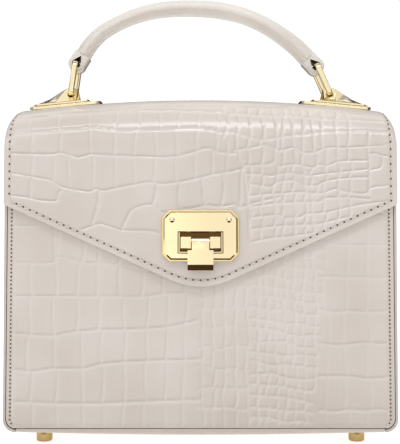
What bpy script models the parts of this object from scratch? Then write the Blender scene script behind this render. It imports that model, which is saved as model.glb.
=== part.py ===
"""Structured top-handle handbag in crocodile-embossed leather.

A flap comes over the top from the back and closes on the front with a flip clasp.
Two folded metal bridges on the top hold rectangular rings, and leather loops join
the padded handle to the rings. Metres, +Z up, the front faces -Y, and the bag
stands on its four feet at z = 0.
"""

from math import atan2, cos, hypot, pi, radians, sin, sqrt, tan

import bmesh
import bpy
from mathutils import Matrix, Vector

MM = 0.001
GAP = 0.3 * MM  # clearance between pieces that touch on the real bag

# Body
BODY_WIDTH = 210 * MM
BOTTOM_DEPTH = 100 * MM
LEAN = radians(2.8)  # how far the front and the back lean inwards
SEAM_HEIGHT = 9.6 * MM  # lower edge of the front and back panels
PANEL_TOP = 158 * MM
PANEL_WALL = 2.0 * MM
GUSSET_WALL = 1.4 * MM
CORNER_RADIUS = 7.0 * MM  # lower corners, seen from the front
BOTTOM_HEIGHT = 5.7 * MM  # underside of the bottom panel at its middle
BOTTOM_SAG = 1.7 * MM
BOTTOM_WALL = 2.0 * MM
BOTTOM_EDGE_RADIUS = 3.0 * MM

# Top of the body, which the flap lies on
BODY_TOP = 185.0 * MM
SHOULDER_RADIUS = 24.7 * MM
CROWN_ANGLE = radians(9)
DOME_DROP = 6.9 * MM  # fall of the top from its middle to its sides
SIDE_ROLL = 6.0 * MM  # rounding of the two side edges of the top

# Flap
FLAP_WIDTH = 209.6 * MM
FLAP_WALL = 3.0 * MM
FLAP_CORNER_HEIGHT = 128 * MM
FLAP_CORNER_RADIUS = 3.5 * MM
FLAP_SLOPE = radians(24.3)
FLAP_TIP_RADIUS = 38 * MM
FLAP_BACK_HEIGHT = 130 * MM

# Feet
FOOT_DIAMETER = 8.6 * MM
FOOT_ROUND = 0.8 * MM
FOOT_SIDE_INSET = 20 * MM  # from the side of the bag to the middle of a foot
FOOT_FACE_INSET = 15 * MM  # the same from the front and the back

# Clasp, measured in the plane of the flap front
CLASP_HEIGHT = 111.5 * MM
PLATE_WIDTH = 39.4 * MM
PLATE_HEIGHT = 25.7 * MM
PLATE_WALL = 2.2 * MM
PLATE_CHAMFER = 3.8 * MM
PLATE_EDGE = 0.8 * MM  # bevel round its front
BACKPLATE_MARGIN = 0.75 * MM
BACKPLATE_WALL = 0.7 * MM
WINDOW_WIDTH = 24.1 * MM
WINDOW_HEIGHT = 11.7 * MM
WINDOW_DROP = 3.65 * MM  # middle of the window below the middle of the plate
RIVET_DIAMETER = 3.0 * MM
RIVET_RISE = 1.0 * MM
RIVET_ACROSS = 30.2 * MM
RIVET_HEIGHT = 8.3 * MM  # above the middle of the plate
POST_WIDTH = 5.7 * MM
POST_HEIGHT = 6.2 * MM
POST_SPACE = 9.8 * MM  # between the two posts
POST_PROUD = 1.7 * MM  # in front of the plate
POST_DROP = 3.8 * MM  # middle of the posts below the middle of the plate
PIN_DIAMETER = 1.6 * MM
PIN_CLEARANCE = 0.25 * MM
TONGUE_WALL = 2.6 * MM
TONGUE_WIDTH = 13.6 * MM
TONGUE_LENGTH = 15.4 * MM  # from the pin to the lower end
TONGUE_BEVEL = 3.0 * MM  # length of the sloped lower face
TONGUE_CLEARANCE = 0.9 * MM  # between the posts and the wide part of the tongue
BARREL_RADIUS = 2.2 * MM

# Bridges on the top
BRIDGE_LENGTH = 39.6 * MM
BRIDGE_INSET = 28.4 * MM  # from the side of the bag to the middle of a bridge
BRIDGE_PLATE_DEPTH = 36 * MM
BRIDGE_PLATE_WALL = 1.6 * MM
BRIDGE_PLATE_RADIUS = 3.0 * MM
BRIDGE_GAP = 0.4 * MM  # between the base plate and the foot of the bridge
BRIDGE_FOOT_WALL = 0.9 * MM
BRIDGE_FLANGE = 1.2 * MM  # foot outside the cheeks
BRIDGE_SHEET = 1.4 * MM
BRIDGE_RISE = 9.7 * MM  # ridge above the underside of the foot
BRIDGE_CHEEK = 14 * MM  # half the depth across the cheeks
BRIDGE_RIDGE = 1.0 * MM  # half the width of the flattened ridge
BRIDGE_RIDGE_FALL = 0.3 * MM
SLOT_BIG_RADIUS = 1.55 * MM
SLOT_SMALL_RADIUS = 0.45 * MM

# Rings
RING_WIRE = 3.0 * MM  # side of the square bar
RING_EDGE = 0.7 * MM  # rounding of the bar's edges
RING_DEPTH = 20 * MM  # between the middles of the two upright bars
RING_HEIGHT = 17.6 * MM  # between the middles of the two level bars
RING_CORNER = 2.2 * MM
RING_SEAT = 5.6 * MM  # lower bar above the base plate
RING_ALONG = 0.417  # share of the bridge's length from its inner end
RING_HOLE_CLEARANCE = 0.5 * MM
RING_LEAN = {"left": radians(8), "right": radians(24)}

# Handle and its loops
LOOP_STRAP = 2.0 * MM
LOOP_DEPTH = 12 * MM
LOOP_INSIDE_RADIUS = 2.6 * MM
LOOP_LENGTH = 7.0 * MM  # from the ring's upper bar to the handle's end
LOOP_PLY_LENGTH = 1.5 * MM  # over which the two plies lie together
LOOP_PLY_SPACE = 0.12 * MM  # half the space left between them
LOOP_ANGLE = {"left": radians(58), "right": radians(47)}
HANDLE_RISE = 28.1 * MM  # above the line between its ends
HANDLE_THICKNESS = 9.0 * MM
HANDLE_DEPTH = 12.8 * MM
HANDLE_SIDES = 14
HANDLE_STEPS = 3  # steps between two rows of the table

# Stations along the handle: place across, height and thickness as shares
# of half the span, of HANDLE_RISE and of HANDLE_THICKNESS.
HANDLE_STATIONS = (
    {"across": -1.00, "height": 0.00, "thickness": 1.00},
    {"across": -0.86, "height": 0.41, "thickness": 0.93},
    {"across": -0.65, "height": 0.71, "thickness": 0.89},
    {"across": -0.43, "height": 0.90, "thickness": 0.95},
    {"across": -0.22, "height": 0.98, "thickness": 0.98},
    {"across": 0.00, "height": 1.00, "thickness": 1.02},
    {"across": 0.21, "height": 0.97, "thickness": 1.04},
    {"across": 0.43, "height": 0.86, "thickness": 1.00},
    {"across": 0.64, "height": 0.65, "thickness": 1.02},
    {"across": 0.855, "height": 0.32, "thickness": 1.10},
    {"across": 1.00, "height": 0.00, "thickness": 1.12},
)

# Sections of a bridge from its inner end outwards: place along it, and height
# and half depth as shares of BRIDGE_LENGTH, BRIDGE_RISE and BRIDGE_CHEEK. The
# inside is hollow up to the last section marked so.
BRIDGE_SECTIONS = (
    {"along": 0.335, "rise": 0.95, "cheek": 1.00, "hollow": True},
    {"along": 0.500, "rise": 1.00, "cheek": 1.00, "hollow": True},
    {"along": 0.640, "rise": 0.70, "cheek": 0.96, "hollow": True},
    {"along": 0.765, "rise": 0.44, "cheek": 0.88, "hollow": True},
    {"along": 0.890, "rise": 0.28, "cheek": 0.72, "hollow": False},
    {"along": 1.000, "rise": 0.15, "cheek": 0.48, "hollow": False},
)
BRIDGE_FOOT = {"inner": 0.17, "outer": 0.92}  # ends of the foot along the bridge

# The wedge-shaped strap slot through both cheeks: its wide and narrow ends.
SLOT_WIDE_END = {"along": 0.665, "rise": 0.285}
SLOT_NARROW_END = {"along": 0.835, "rise": 0.165}

SIDES = {"left": -1, "right": 1}

# Resolution
ARC_STEPS = 6
SHOULDER_STEPS = 7
CROWN_STEPS = 2
FLAP_FRONT_ROWS = 6
FLAP_BACK_ROWS = 2
BOTTOM_COLUMNS = 8

LEATHER = (0.74, 0.68, 0.62, 1.0)
LEATHER_DARK = (0.66, 0.59, 0.53, 1.0)
GOLD = (0.93, 0.76, 0.45, 1.0)
GOLD_PALE = (0.95, 0.82, 0.58, 1.0)


def clear_scene():
    for obj in list(bpy.data.objects):
        bpy.data.objects.remove(obj, do_unlink=True)


def material(name, colour, roughness, metallic):
    made = bpy.data.materials.new(name)
    made.use_nodes = True
    shader = made.node_tree.nodes["Principled BSDF"]
    shader.inputs["Base Color"].default_value = colour
    shader.inputs["Roughness"].default_value = roughness
    shader.inputs["Metallic"].default_value = metallic
    made.diffuse_color = colour
    return made


def leather_material(name, colour=LEATHER):
    return material(name, colour, 0.34, 0.0)


def gold_material(name, colour=GOLD):
    return material(name, colour, 0.16, 1.0)


def add_piece(name, mesh, surface, parent, smooth_angle=None):
    mesh.materials.append(surface)
    if smooth_angle is not None:
        mesh.shade_smooth()
        mesh.set_sharp_from_angle(angle=smooth_angle)
    obj = bpy.data.objects.new(name, mesh)
    bpy.context.scene.collection.objects.link(obj)
    obj.parent = parent
    return obj


def add_empty(name, location, parent=None, rotation=(0, 0, 0)):
    empty = bpy.data.objects.new(name, None)
    empty.location = location
    empty.rotation_euler = rotation
    empty.parent = parent
    bpy.context.scene.collection.objects.link(empty)
    return empty


def add_cutter(name, mesh, parent):
    cutter = bpy.data.objects.new(name, mesh)
    bpy.context.scene.collection.objects.link(cutter)
    cutter.parent = parent
    cutter.hide_render = True
    cutter.display_type = "WIRE"
    return cutter


def cut(obj, cutter):
    modifier = obj.modifiers.new("Cut " + cutter.name, "BOOLEAN")
    modifier.operation = "DIFFERENCE"
    modifier.solver = "EXACT"
    modifier.object = cutter


def finished_mesh(name, bm):
    bmesh.ops.recalc_face_normals(bm, faces=bm.faces)
    mesh = bpy.data.meshes.new(name)
    bm.to_mesh(mesh)
    bm.free()
    return mesh


def box_mesh(name, low, high):
    bm = bmesh.new()
    size = [high[i] - low[i] for i in range(3)]
    middle = [(high[i] + low[i]) / 2 for i in range(3)]
    place = Matrix.Translation(middle) @ Matrix.Diagonal((*size, 1))
    bmesh.ops.create_cube(bm, size=1, matrix=place)
    return finished_mesh(name, bm)


def prism_mesh(name, outline, low, high, axis="Y"):
    """A closed outline, extruded from low to high along an axis.

    The outline holds (x, z) points for Y, (x, y) points for Z and (y, z) points for X.
    """
    place = {
        "X": lambda a, b, along: (along, a, b),
        "Y": lambda a, b, along: (a, along, b),
        "Z": lambda a, b, along: (a, b, along),
    }[axis]
    bm = bmesh.new()
    face = bm.faces.new([bm.verts.new(place(a, b, low)) for a, b in outline])
    made = bmesh.ops.extrude_face_region(bm, geom=[face])
    moved = [v for v in made["geom"] if isinstance(v, bmesh.types.BMVert)]
    bmesh.ops.translate(bm, vec=place(0, 0, high - low), verts=moved)
    return finished_mesh(name, bm)


def frame_mesh(name, outer, inner, low, high, face=None, bevel=0.0):
    """A flat frame between outlines that have the same number of points. face is its
    smaller outline at the low side, if a bevel leads to one."""
    bm = bmesh.new()
    levels = [(outer, low + bevel), (outer, high), (inner, high), (inner, low)]
    if face:
        levels.append((face, low))
    rings = []
    for outline, depth in levels:
        rings.append([bm.verts.new((a, depth, b)) for a, b in outline])
    count = len(outer)
    for k, ring in enumerate(rings):
        after = rings[(k + 1) % len(rings)]
        for i in range(count):
            j = (i + 1) % count
            bm.faces.new((ring[i], ring[j], after[j], after[i]))
    return finished_mesh(name, bm)


def sheet_mesh(name, outer, inner):
    """A wall between two grids of points, each a list of columns."""
    bm = bmesh.new()
    grids = [[[bm.verts.new(p) for p in column] for column in grid] for grid in (outer, inner)]
    columns = len(outer)
    rows = len(outer[0])
    for grid in grids:
        for i in range(columns - 1):
            for j in range(rows - 1):
                bm.faces.new((grid[i][j], grid[i + 1][j], grid[i + 1][j + 1], grid[i][j + 1]))
    rim = [(i, 0) for i in range(columns)]
    rim += [(columns - 1, j) for j in range(1, rows)]
    rim += [(i, rows - 1) for i in range(columns - 2, -1, -1)]
    rim += [(0, j) for j in range(rows - 2, 0, -1)]
    for k, (i, j) in enumerate(rim):
        m, n = rim[(k + 1) % len(rim)]
        bm.faces.new((grids[0][i][j], grids[0][m][n], grids[1][m][n], grids[1][i][j]))
    return finished_mesh(name, bm)


def tube_mesh(name, rings, closed=False):
    """Sections joined in order, with flat ends unless the tube is closed."""
    bm = bmesh.new()
    made = [[bm.verts.new(p) for p in ring] for ring in rings]
    sides = len(rings[0])
    spans = len(made) if closed else len(made) - 1
    for k in range(spans):
        after = made[(k + 1) % len(made)]
        for i in range(sides):
            j = (i + 1) % sides
            bm.faces.new((made[k][i], made[k][j], after[j], after[i]))
    if not closed:
        bm.faces.new(made[0])
        bm.faces.new(made[-1])
    return finished_mesh(name, bm)


def arc(centre, radius, start, end, steps):
    angles = [start + (end - start) * k / steps for k in range(steps + 1)]
    return [(centre[0] + radius * cos(a), centre[1] + radius * sin(a)) for a in angles]


def mirrored(half):
    """A half outline at positive across, from bottom to top, closed by its mirror."""
    return half + [(-a, b) for a, b in reversed(half)]


def face_y(height):
    """Half the depth of the body at a height on its leaning faces."""
    return BOTTOM_DEPTH / 2 - (height - SEAM_HEIGHT) * tan(LEAN)


def crown_radius():
    face = pi / 2 - LEAN
    rise = SHOULDER_RADIUS * (cos(CROWN_ANGLE) - cos(face))
    run = SHOULDER_RADIUS * (sin(face) - sin(CROWN_ANGLE))
    room = face_y(BODY_TOP - rise) - run
    return room / (sin(CROWN_ANGLE) - tan(LEAN) * (1 - cos(CROWN_ANGLE)))


def shoulder_start():
    """Height at which the leaning face turns into the shoulder."""
    rise = SHOULDER_RADIUS * (cos(CROWN_ANGLE) - sin(LEAN))
    return BODY_TOP - rise - crown_radius() * (1 - cos(CROWN_ANGLE))


def over_top(offset):
    """Points (y, z) from the front shoulder over the top to the back one."""
    face = pi / 2 - LEAN
    start = shoulder_start()
    foot = (-face_y(start), start)
    middle = (foot[0] + SHOULDER_RADIUS * sin(face), foot[1] - SHOULDER_RADIUS * cos(face))
    crown_middle = (0, BODY_TOP - crown_radius())
    half = []
    for k in range(SHOULDER_STEPS + 1):
        turn = face + (CROWN_ANGLE - face) * k / SHOULDER_STEPS
        reach = SHOULDER_RADIUS + offset
        half.append((middle[0] - reach * sin(turn), middle[1] + reach * cos(turn)))
    for k in range(1, CROWN_STEPS + 1):
        turn = CROWN_ANGLE * (1 - k / CROWN_STEPS)
        reach = crown_radius() + offset
        half.append((crown_middle[0] - reach * sin(turn), crown_middle[1] + reach * cos(turn)))
    return half + [(-y, z) for y, z in reversed(half[:-1])]


def face_point(height, offset, side=-1):
    """A point (y, z) on the front (-1) or back (+1) face, offset outwards."""
    y = face_y(height) + offset * cos(LEAN)
    return side * y, height + offset * sin(LEAN)


def dome_drop(x):
    return DOME_DROP * (2 * x / BODY_WIDTH) ** 2


def side_roll(x):
    into = max(0.0, abs(x) - (FLAP_WIDTH / 2 - SIDE_ROLL))
    into = min(into, SIDE_ROLL)
    return SIDE_ROLL - sqrt(SIDE_ROLL**2 - into**2)


def lowered(x, y, z):
    """The point moved down as the top falls towards its sides."""
    share = (z - PANEL_TOP) / (BODY_TOP - PANEL_TOP)
    share = min(max(share, 0.0), 1.0)
    return (x, y, z - share * (dome_drop(x) + side_roll(x)))


def flap_edge(x):
    """Height of the flap's lower edge on the front at a place across."""
    side = FLAP_WIDTH / 2
    tip_x = FLAP_TIP_RADIUS * sin(FLAP_SLOPE)
    corner_foot = side - FLAP_CORNER_RADIUS * (1 - sin(FLAP_SLOPE))
    x = abs(x)
    sharp_tip = FLAP_CORNER_HEIGHT - side * tan(FLAP_SLOPE)
    if x < tip_x:
        centre = sharp_tip + FLAP_TIP_RADIUS / cos(FLAP_SLOPE)
        return centre - sqrt(FLAP_TIP_RADIUS**2 - x * x)
    if x <= corner_foot:
        return sharp_tip + x * tan(FLAP_SLOPE)
    middle = side - FLAP_CORNER_RADIUS
    height = sharp_tip + middle * tan(FLAP_SLOPE) + FLAP_CORNER_RADIUS / cos(FLAP_SLOPE)
    return height - sqrt(max(FLAP_CORNER_RADIUS**2 - (x - middle) ** 2, 0.0))


def flap_columns():
    """Places across the flap, closer together at its side edges and its tip."""
    side = FLAP_WIDTH / 2
    tip_x = FLAP_TIP_RADIUS * sin(FLAP_SLOPE)
    roll = side - SIDE_ROLL
    half = [tip_x * k / 3 for k in range(4)]
    half += [tip_x + (roll - tip_x) * k / 6 for k in range(1, 7)]
    half += [roll + SIDE_ROLL * sin(pi / 2 * k / 5) for k in range(1, 6)]
    return [-x for x in reversed(half[1:])] + half


def flap_column(x, offset):
    edge = flap_edge(x)
    start = shoulder_start()
    rows = []
    for k in range(FLAP_FRONT_ROWS):
        y, z = face_point(edge + (start - edge) * k / FLAP_FRONT_ROWS, offset)
        rows.append((x, y, z))
    rows += [lowered(x, y, z) for y, z in over_top(offset)]
    for k in range(1, FLAP_BACK_ROWS + 1):
        height = start + (FLAP_BACK_HEIGHT - start) * k / FLAP_BACK_ROWS
        y, z = face_point(height, offset, 1)
        rows.append((x, y, z))
    return rows


def make_panel(name, side, parent):
    half_width = BODY_WIDTH / 2 - GUSSET_WALL - GAP
    radius = CORNER_RADIUS - GUSSET_WALL - GAP
    corner = (half_width - radius, SEAM_HEIGHT + radius)
    half = arc(corner, radius, -pi / 2, 0, ARC_STEPS) + [(half_width, PANEL_TOP)]
    bm = bmesh.new()
    layers = []
    for offset in (0.0, -PANEL_WALL):
        points = [(x, *face_point(z, offset, side)) for x, z in mirrored(half)]
        layers.append([bm.verts.new(p) for p in points])
        bm.faces.new(layers[-1])
    count = len(layers[0])
    for i in range(count):
        j = (i + 1) % count
        bm.faces.new((layers[0][i], layers[0][j], layers[1][j], layers[1][i]))
    return add_piece(name, finished_mesh(name, bm), leather_material(name), parent, radians(30))


def gusset_outline(x):
    """The gusset seen from the side: points (y, z) from the front seam to the back."""
    points = [face_point(PANEL_TOP, 0.0)]
    points += [lowered(x, y, z)[1:] for y, z in over_top(0.0)]
    points += [face_point(PANEL_TOP, 0.0, 1)]
    return points


def make_gusset(name, sign, parent):
    """An upright wall with a rounded top, turned in under the bag at its foot."""
    centre = (BODY_WIDTH / 2 - CORNER_RADIUS, BOTTOM_HEIGHT + BOTTOM_SAG + CORNER_RADIUS)
    top = gusset_outline(BODY_WIDTH / 2)
    grids = []
    for inset in (0.0, GUSSET_WALL):
        turn = arc(centre, CORNER_RADIUS - inset, -pi / 2, 0, ARC_STEPS)
        columns = []
        for y, z in top:
            column = [(sign * x, y / face_y(z) * face_y(height), height) for x, height in turn]
            column.append((sign * (BODY_WIDTH / 2 - inset), y, z))
            columns.append(column)
        grids.append(columns)
    mesh = sheet_mesh(name, *grids)
    return add_piece(name, mesh, leather_material(name, LEATHER_DARK), parent, radians(30))


def bottom_height(x):
    return BOTTOM_HEIGHT + BOTTOM_SAG * (x / (BODY_WIDTH / 2 - CORNER_RADIUS)) ** 2


def make_bottom(parent):
    """A shallow tray whose lips meet the lower edges of the panels."""
    half_width = BODY_WIDTH / 2 - CORNER_RADIUS - GAP
    lip = SEAM_HEIGHT - GAP
    grids = []
    for inset in (0.0, BOTTOM_WALL):
        radius = max(BOTTOM_EDGE_RADIUS - inset, 0.5 * MM)
        outer = BOTTOM_DEPTH / 2 - inset
        columns = []
        for k in range(-BOTTOM_COLUMNS, BOTTOM_COLUMNS + 1):
            x = half_width * k / BOTTOM_COLUMNS
            foot = bottom_height(x) + inset
            bend = min(radius, (lip - foot) * 0.95)
            half = [(outer, lip)]
            half += arc((outer - bend, foot + bend), bend, 0, -pi / 2, 4)
            half += [(outer / 2, foot)]
            section = [(-y, z) for y, z in half] + [(y, z) for y, z in reversed(half)]
            columns.append([(x, y, z) for y, z in section])
        grids.append(columns)
    name = "bottom_panel"
    mesh = sheet_mesh(name, *grids)
    return add_piece(name, mesh, leather_material(name, LEATHER_DARK), parent, radians(30))


def make_flap(parent, clasp_frame):
    name = "flap"
    outer = [flap_column(x, GAP + FLAP_WALL) for x in flap_columns()]
    inner = [flap_column(x, GAP) for x in flap_columns()]
    flap = add_piece(name, sheet_mesh(name, outer, inner), leather_material(name), parent, radians(30))
    half_width = WINDOW_WIDTH / 2
    low = (-half_width, -PLATE_WALL, -WINDOW_DROP - WINDOW_HEIGHT / 2)
    high = (half_width, FLAP_WALL + GAP, -WINDOW_DROP + WINDOW_HEIGHT / 2)
    cut(flap, add_cutter("flap_window_cutter", box_mesh("flap_window_cutter", low, high), clasp_frame))
    return flap


def make_foot(name, x, y, parent):
    """A turned stud, rounded at its lower edge, up to the bottom panel."""
    height = bottom_height(x) - GAP
    radius = FOOT_DIAMETER / 2
    profile = [(radius - FOOT_ROUND, 0.0), (radius - FOOT_ROUND * 0.3, FOOT_ROUND * 0.3)]
    profile += [(radius, FOOT_ROUND), (radius, height)]
    rings = []
    for r, z in profile:
        rings.append([(r * cos(2 * pi * k / 20), r * sin(2 * pi * k / 20), z) for k in range(20)])
    foot = add_piece(name, tube_mesh(name, rings), gold_material(name), parent, radians(40))
    foot.location = (x, y, 0)
    return foot


def chamfered(width, height, chamfer):
    """A rectangle with cut corners, as (across, up) points."""
    a = width / 2
    b = height / 2
    half = [(a - chamfer, -b), (a, -b + chamfer), (a, b - chamfer), (a - chamfer, b)]
    return mirrored(half)


def window_outline(margin=0.0):
    """The window's corners doubled, to pair with the plate's eight points."""
    a = WINDOW_WIDTH / 2 + margin
    low = -WINDOW_DROP - WINDOW_HEIGHT / 2 - margin
    high = -WINDOW_DROP + WINDOW_HEIGHT / 2 + margin
    cut_corner = 0.3 * MM
    half = [(a - cut_corner, low), (a, low + cut_corner), (a, high - cut_corner), (a - cut_corner, high)]
    return mirrored(half)


def plate_front():
    """How far the plate's front stands in front of the flap."""
    return GAP + BACKPLATE_WALL + GAP + PLATE_WALL


def make_clasp_plates(frame):
    margin = 2 * BACKPLATE_MARGIN
    outline = chamfered(PLATE_WIDTH + margin, PLATE_HEIGHT + margin, PLATE_CHAMFER)
    back = -GAP - BACKPLATE_WALL
    mesh = frame_mesh("clasp_backplate", outline, window_outline(), back, -GAP)
    add_piece("clasp_backplate", mesh, gold_material("clasp_backplate"), frame)
    outline = chamfered(PLATE_WIDTH, PLATE_HEIGHT, PLATE_CHAMFER)
    inset = 2 * PLATE_EDGE
    face = chamfered(PLATE_WIDTH - inset, PLATE_HEIGHT - inset, PLATE_CHAMFER - PLATE_EDGE * (2 - sqrt(2)))
    mesh = frame_mesh(
        "clasp_plate", outline, window_outline(), -plate_front(), back - GAP, face, PLATE_EDGE
    )
    add_piece("clasp_plate", mesh, gold_material("clasp_plate", GOLD_PALE), frame)


def make_rivet(name, sign, frame):
    """A low dome seated on the plate."""
    radius = RIVET_DIAMETER / 2
    profile = [(radius, 0.0), (radius * 0.95, 0.35), (radius * 0.7, 0.75), (radius * 0.3, 1.0)]
    rings = []
    for r, share in profile:
        y = -GAP - share * RIVET_RISE
        rings.append([(r * cos(pi * k / 6), y, r * sin(pi * k / 6)) for k in range(12)])
    rivet = add_piece(name, tube_mesh(name, rings), gold_material(name), frame, radians(50))
    rivet.location = (sign * RIVET_ACROSS / 2, -plate_front(), RIVET_HEIGHT)


def pin_place():
    """Depth and height of the pin in the clasp's frame."""
    return -plate_front() - POST_PROUD + BARREL_RADIUS, -POST_DROP + 0.8 * MM


def circle(centre, radius, sides=16):
    return arc(centre, radius, 0, 2 * pi * (sides - 1) / sides, sides - 1)


def join(obj, other):
    modifier = obj.modifiers.new("Join " + other.name, "BOOLEAN")
    modifier.operation = "UNION"
    modifier.solver = "EXACT"
    modifier.object = other


def make_clasp_base(frame):
    """A block on the front panel that fills the window, with two posts for the pin."""
    name = "clasp_base"
    half_width = WINDOW_WIDTH / 2 - GAP
    half_height = WINDOW_HEIGHT / 2 - GAP
    block_front = pin_place()[0] + BARREL_RADIUS + GAP
    low = (-half_width, block_front, -WINDOW_DROP - half_height)
    high = (half_width, FLAP_WALL, -WINDOW_DROP + half_height)
    base = add_piece(name, box_mesh(name, low, high), gold_material(name), frame)
    post_front = -plate_front() - POST_PROUD
    for side, sign in SIDES.items():
        inner = sign * POST_SPACE / 2
        outer = sign * (POST_SPACE / 2 + POST_WIDTH)
        low = (min(inner, outer), post_front, -POST_DROP - POST_HEIGHT / 2)
        high = (max(inner, outer), block_front + FLAP_WALL / 2, -POST_DROP + POST_HEIGHT / 2)
        post = add_cutter("clasp_post_" + side, box_mesh("clasp_post_" + side, low, high), frame)
        join(base, post)
    hole = circle(pin_place(), PIN_DIAMETER / 2 + PIN_CLEARANCE)
    mesh = prism_mesh("clasp_pin_hole", hole, -WINDOW_WIDTH / 2, WINDOW_WIDTH / 2, "X")
    cut(base, add_cutter("clasp_pin_hole", mesh, frame))


def make_clasp_pin(frame):
    name = "clasp_pin"
    half_length = POST_SPACE / 2 + POST_WIDTH - GAP
    mesh = prism_mesh(name, circle((0, 0), PIN_DIAMETER / 2), -half_length, half_length, "X")
    pin = add_piece(name, mesh, gold_material(name), frame, radians(40))
    pin.location = (0, *pin_place())


def make_clasp_tongue(frame):
    """A T-shaped tongue with its origin on the pin, its neck between the posts."""
    name = "clasp_tongue"
    depth, height = pin_place()
    front = -plate_front() - GAP - TONGUE_WALL - depth
    back = front + TONGUE_WALL
    shoulder = -POST_DROP - POST_HEIGHT / 2 - height - TONGUE_CLEARANCE
    root = shoulder - TONGUE_WALL / 4
    neck = arc((0, 0), BARREL_RADIUS, -0.45 * pi, 0.95 * pi, 9)
    neck += [(front, 0.0), (front, root), (back, root)]
    half_neck = POST_SPACE / 2 - GAP
    mesh = prism_mesh(name, neck, -half_neck, half_neck, "X")
    tongue = add_piece(name, mesh, gold_material(name), frame)
    tongue.location = (0, depth, height)

    paddle_name = "clasp_tongue_paddle"
    lip = back - TONGUE_WALL / 5
    side = [(back, shoulder), (front, shoulder), (front, TONGUE_BEVEL - TONGUE_LENGTH)]
    side += [(lip, -TONGUE_LENGTH), (back, -TONGUE_LENGTH)]
    mesh = prism_mesh(paddle_name, side, -TONGUE_WIDTH / 2, TONGUE_WIDTH / 2, "X")
    paddle = add_cutter(paddle_name, mesh, frame)
    paddle.location = (0, depth, height)
    join(tongue, paddle)
    hole = circle((0, 0), PIN_DIAMETER / 2 + PIN_CLEARANCE)
    mesh = prism_mesh("clasp_tongue_hole", hole, -TONGUE_WIDTH / 2, TONGUE_WIDTH / 2, "X")
    cutter = add_cutter("clasp_tongue_hole", mesh, frame)
    cutter.location = (0, depth, height)
    cut(tongue, cutter)


def bridge_middle():
    return BODY_WIDTH / 2 - BRIDGE_INSET


def bridge_tilt():
    inner = bridge_middle() - BRIDGE_LENGTH / 2
    outer = bridge_middle() + BRIDGE_LENGTH / 2
    return atan2(dome_drop(outer) - dome_drop(inner), BRIDGE_LENGTH)


def bridge_seat():
    """Height of the underside of a base plate at its middle."""
    return BODY_TOP + GAP + FLAP_WALL - dome_drop(bridge_middle()) + GAP


def bridge_point(sign, along, up):
    """(x, z) of a point in a bridge: along from its inner end, up from the plate's underside."""
    tilt = bridge_tilt()
    out = along - BRIDGE_LENGTH / 2
    x = bridge_middle() + out * cos(tilt) + up * sin(tilt)
    z = bridge_seat() - out * sin(tilt) + up * cos(tilt)
    return sign * x, z


def rounded_rectangle(width, height, radius, steps=3):
    a = width / 2 - radius
    b = height / 2 - radius
    half = arc((a, -b), radius, -pi / 2, 0, steps) + arc((a, b), radius, 0, pi / 2, steps)
    return mirrored(half)


def crown_fall(y, lift):
    """How far a surface lifted above the crown falls at a depth from the middle."""
    radius = crown_radius() + GAP + FLAP_WALL + lift
    return radius - sqrt(radius**2 - y * y)


def saddle_mesh(name, inner, outer, depth, corner, lift, wall):
    """A plate from inner to outer along X that lies on the crown, with rounded corners."""
    straight = depth / 2 - corner
    turned = [straight + corner * sin(pi / 2 * k / ARC_STEPS) for k in range(ARC_STEPS + 1)]
    half = [0.0, straight / 3, straight * 2 / 3, *turned]
    grids = []
    for level in (lift, lift + wall):
        columns = [[], []]
        for y in [-y for y in reversed(half[1:])] + half:
            into = max(0.0, abs(y) - straight)
            inset = corner - sqrt(max(corner**2 - into**2, 0.0))
            z = level - crown_fall(y, level)
            columns[0].append((inner + inset, y, z))
            columns[1].append((outer - inset, y, z))
        grids.append(columns)
    return sheet_mesh(name, *grids)


def cheek_section(x, rise, cheek, floor, up):
    """A ridged section above the floor, as points at a place along the bridge."""
    half = [(cheek, floor), (BRIDGE_RIDGE, rise - BRIDGE_RIDGE_FALL), (0.0, rise)]
    return [(x, y, z + up) for y, z in half] + [(x, -y, z + up) for y, z in reversed(half[:-1])]


def hollow_section(row, x, up):
    """The inside of a section, one sheet thickness within it."""
    rise = row["rise"] * BRIDGE_RISE
    cheek = row["cheek"] * BRIDGE_CHEEK
    slope = atan2(rise, cheek)
    top = rise - BRIDGE_SHEET / cos(slope)
    foot = (top - BRIDGE_FOOT_WALL) / tan(slope)
    half = [(foot, BRIDGE_FOOT_WALL), (0.0, top)]
    return [(x, y, z + up) for y, z in half] + [(x, -half[0][0], half[0][1] + up)]


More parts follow.
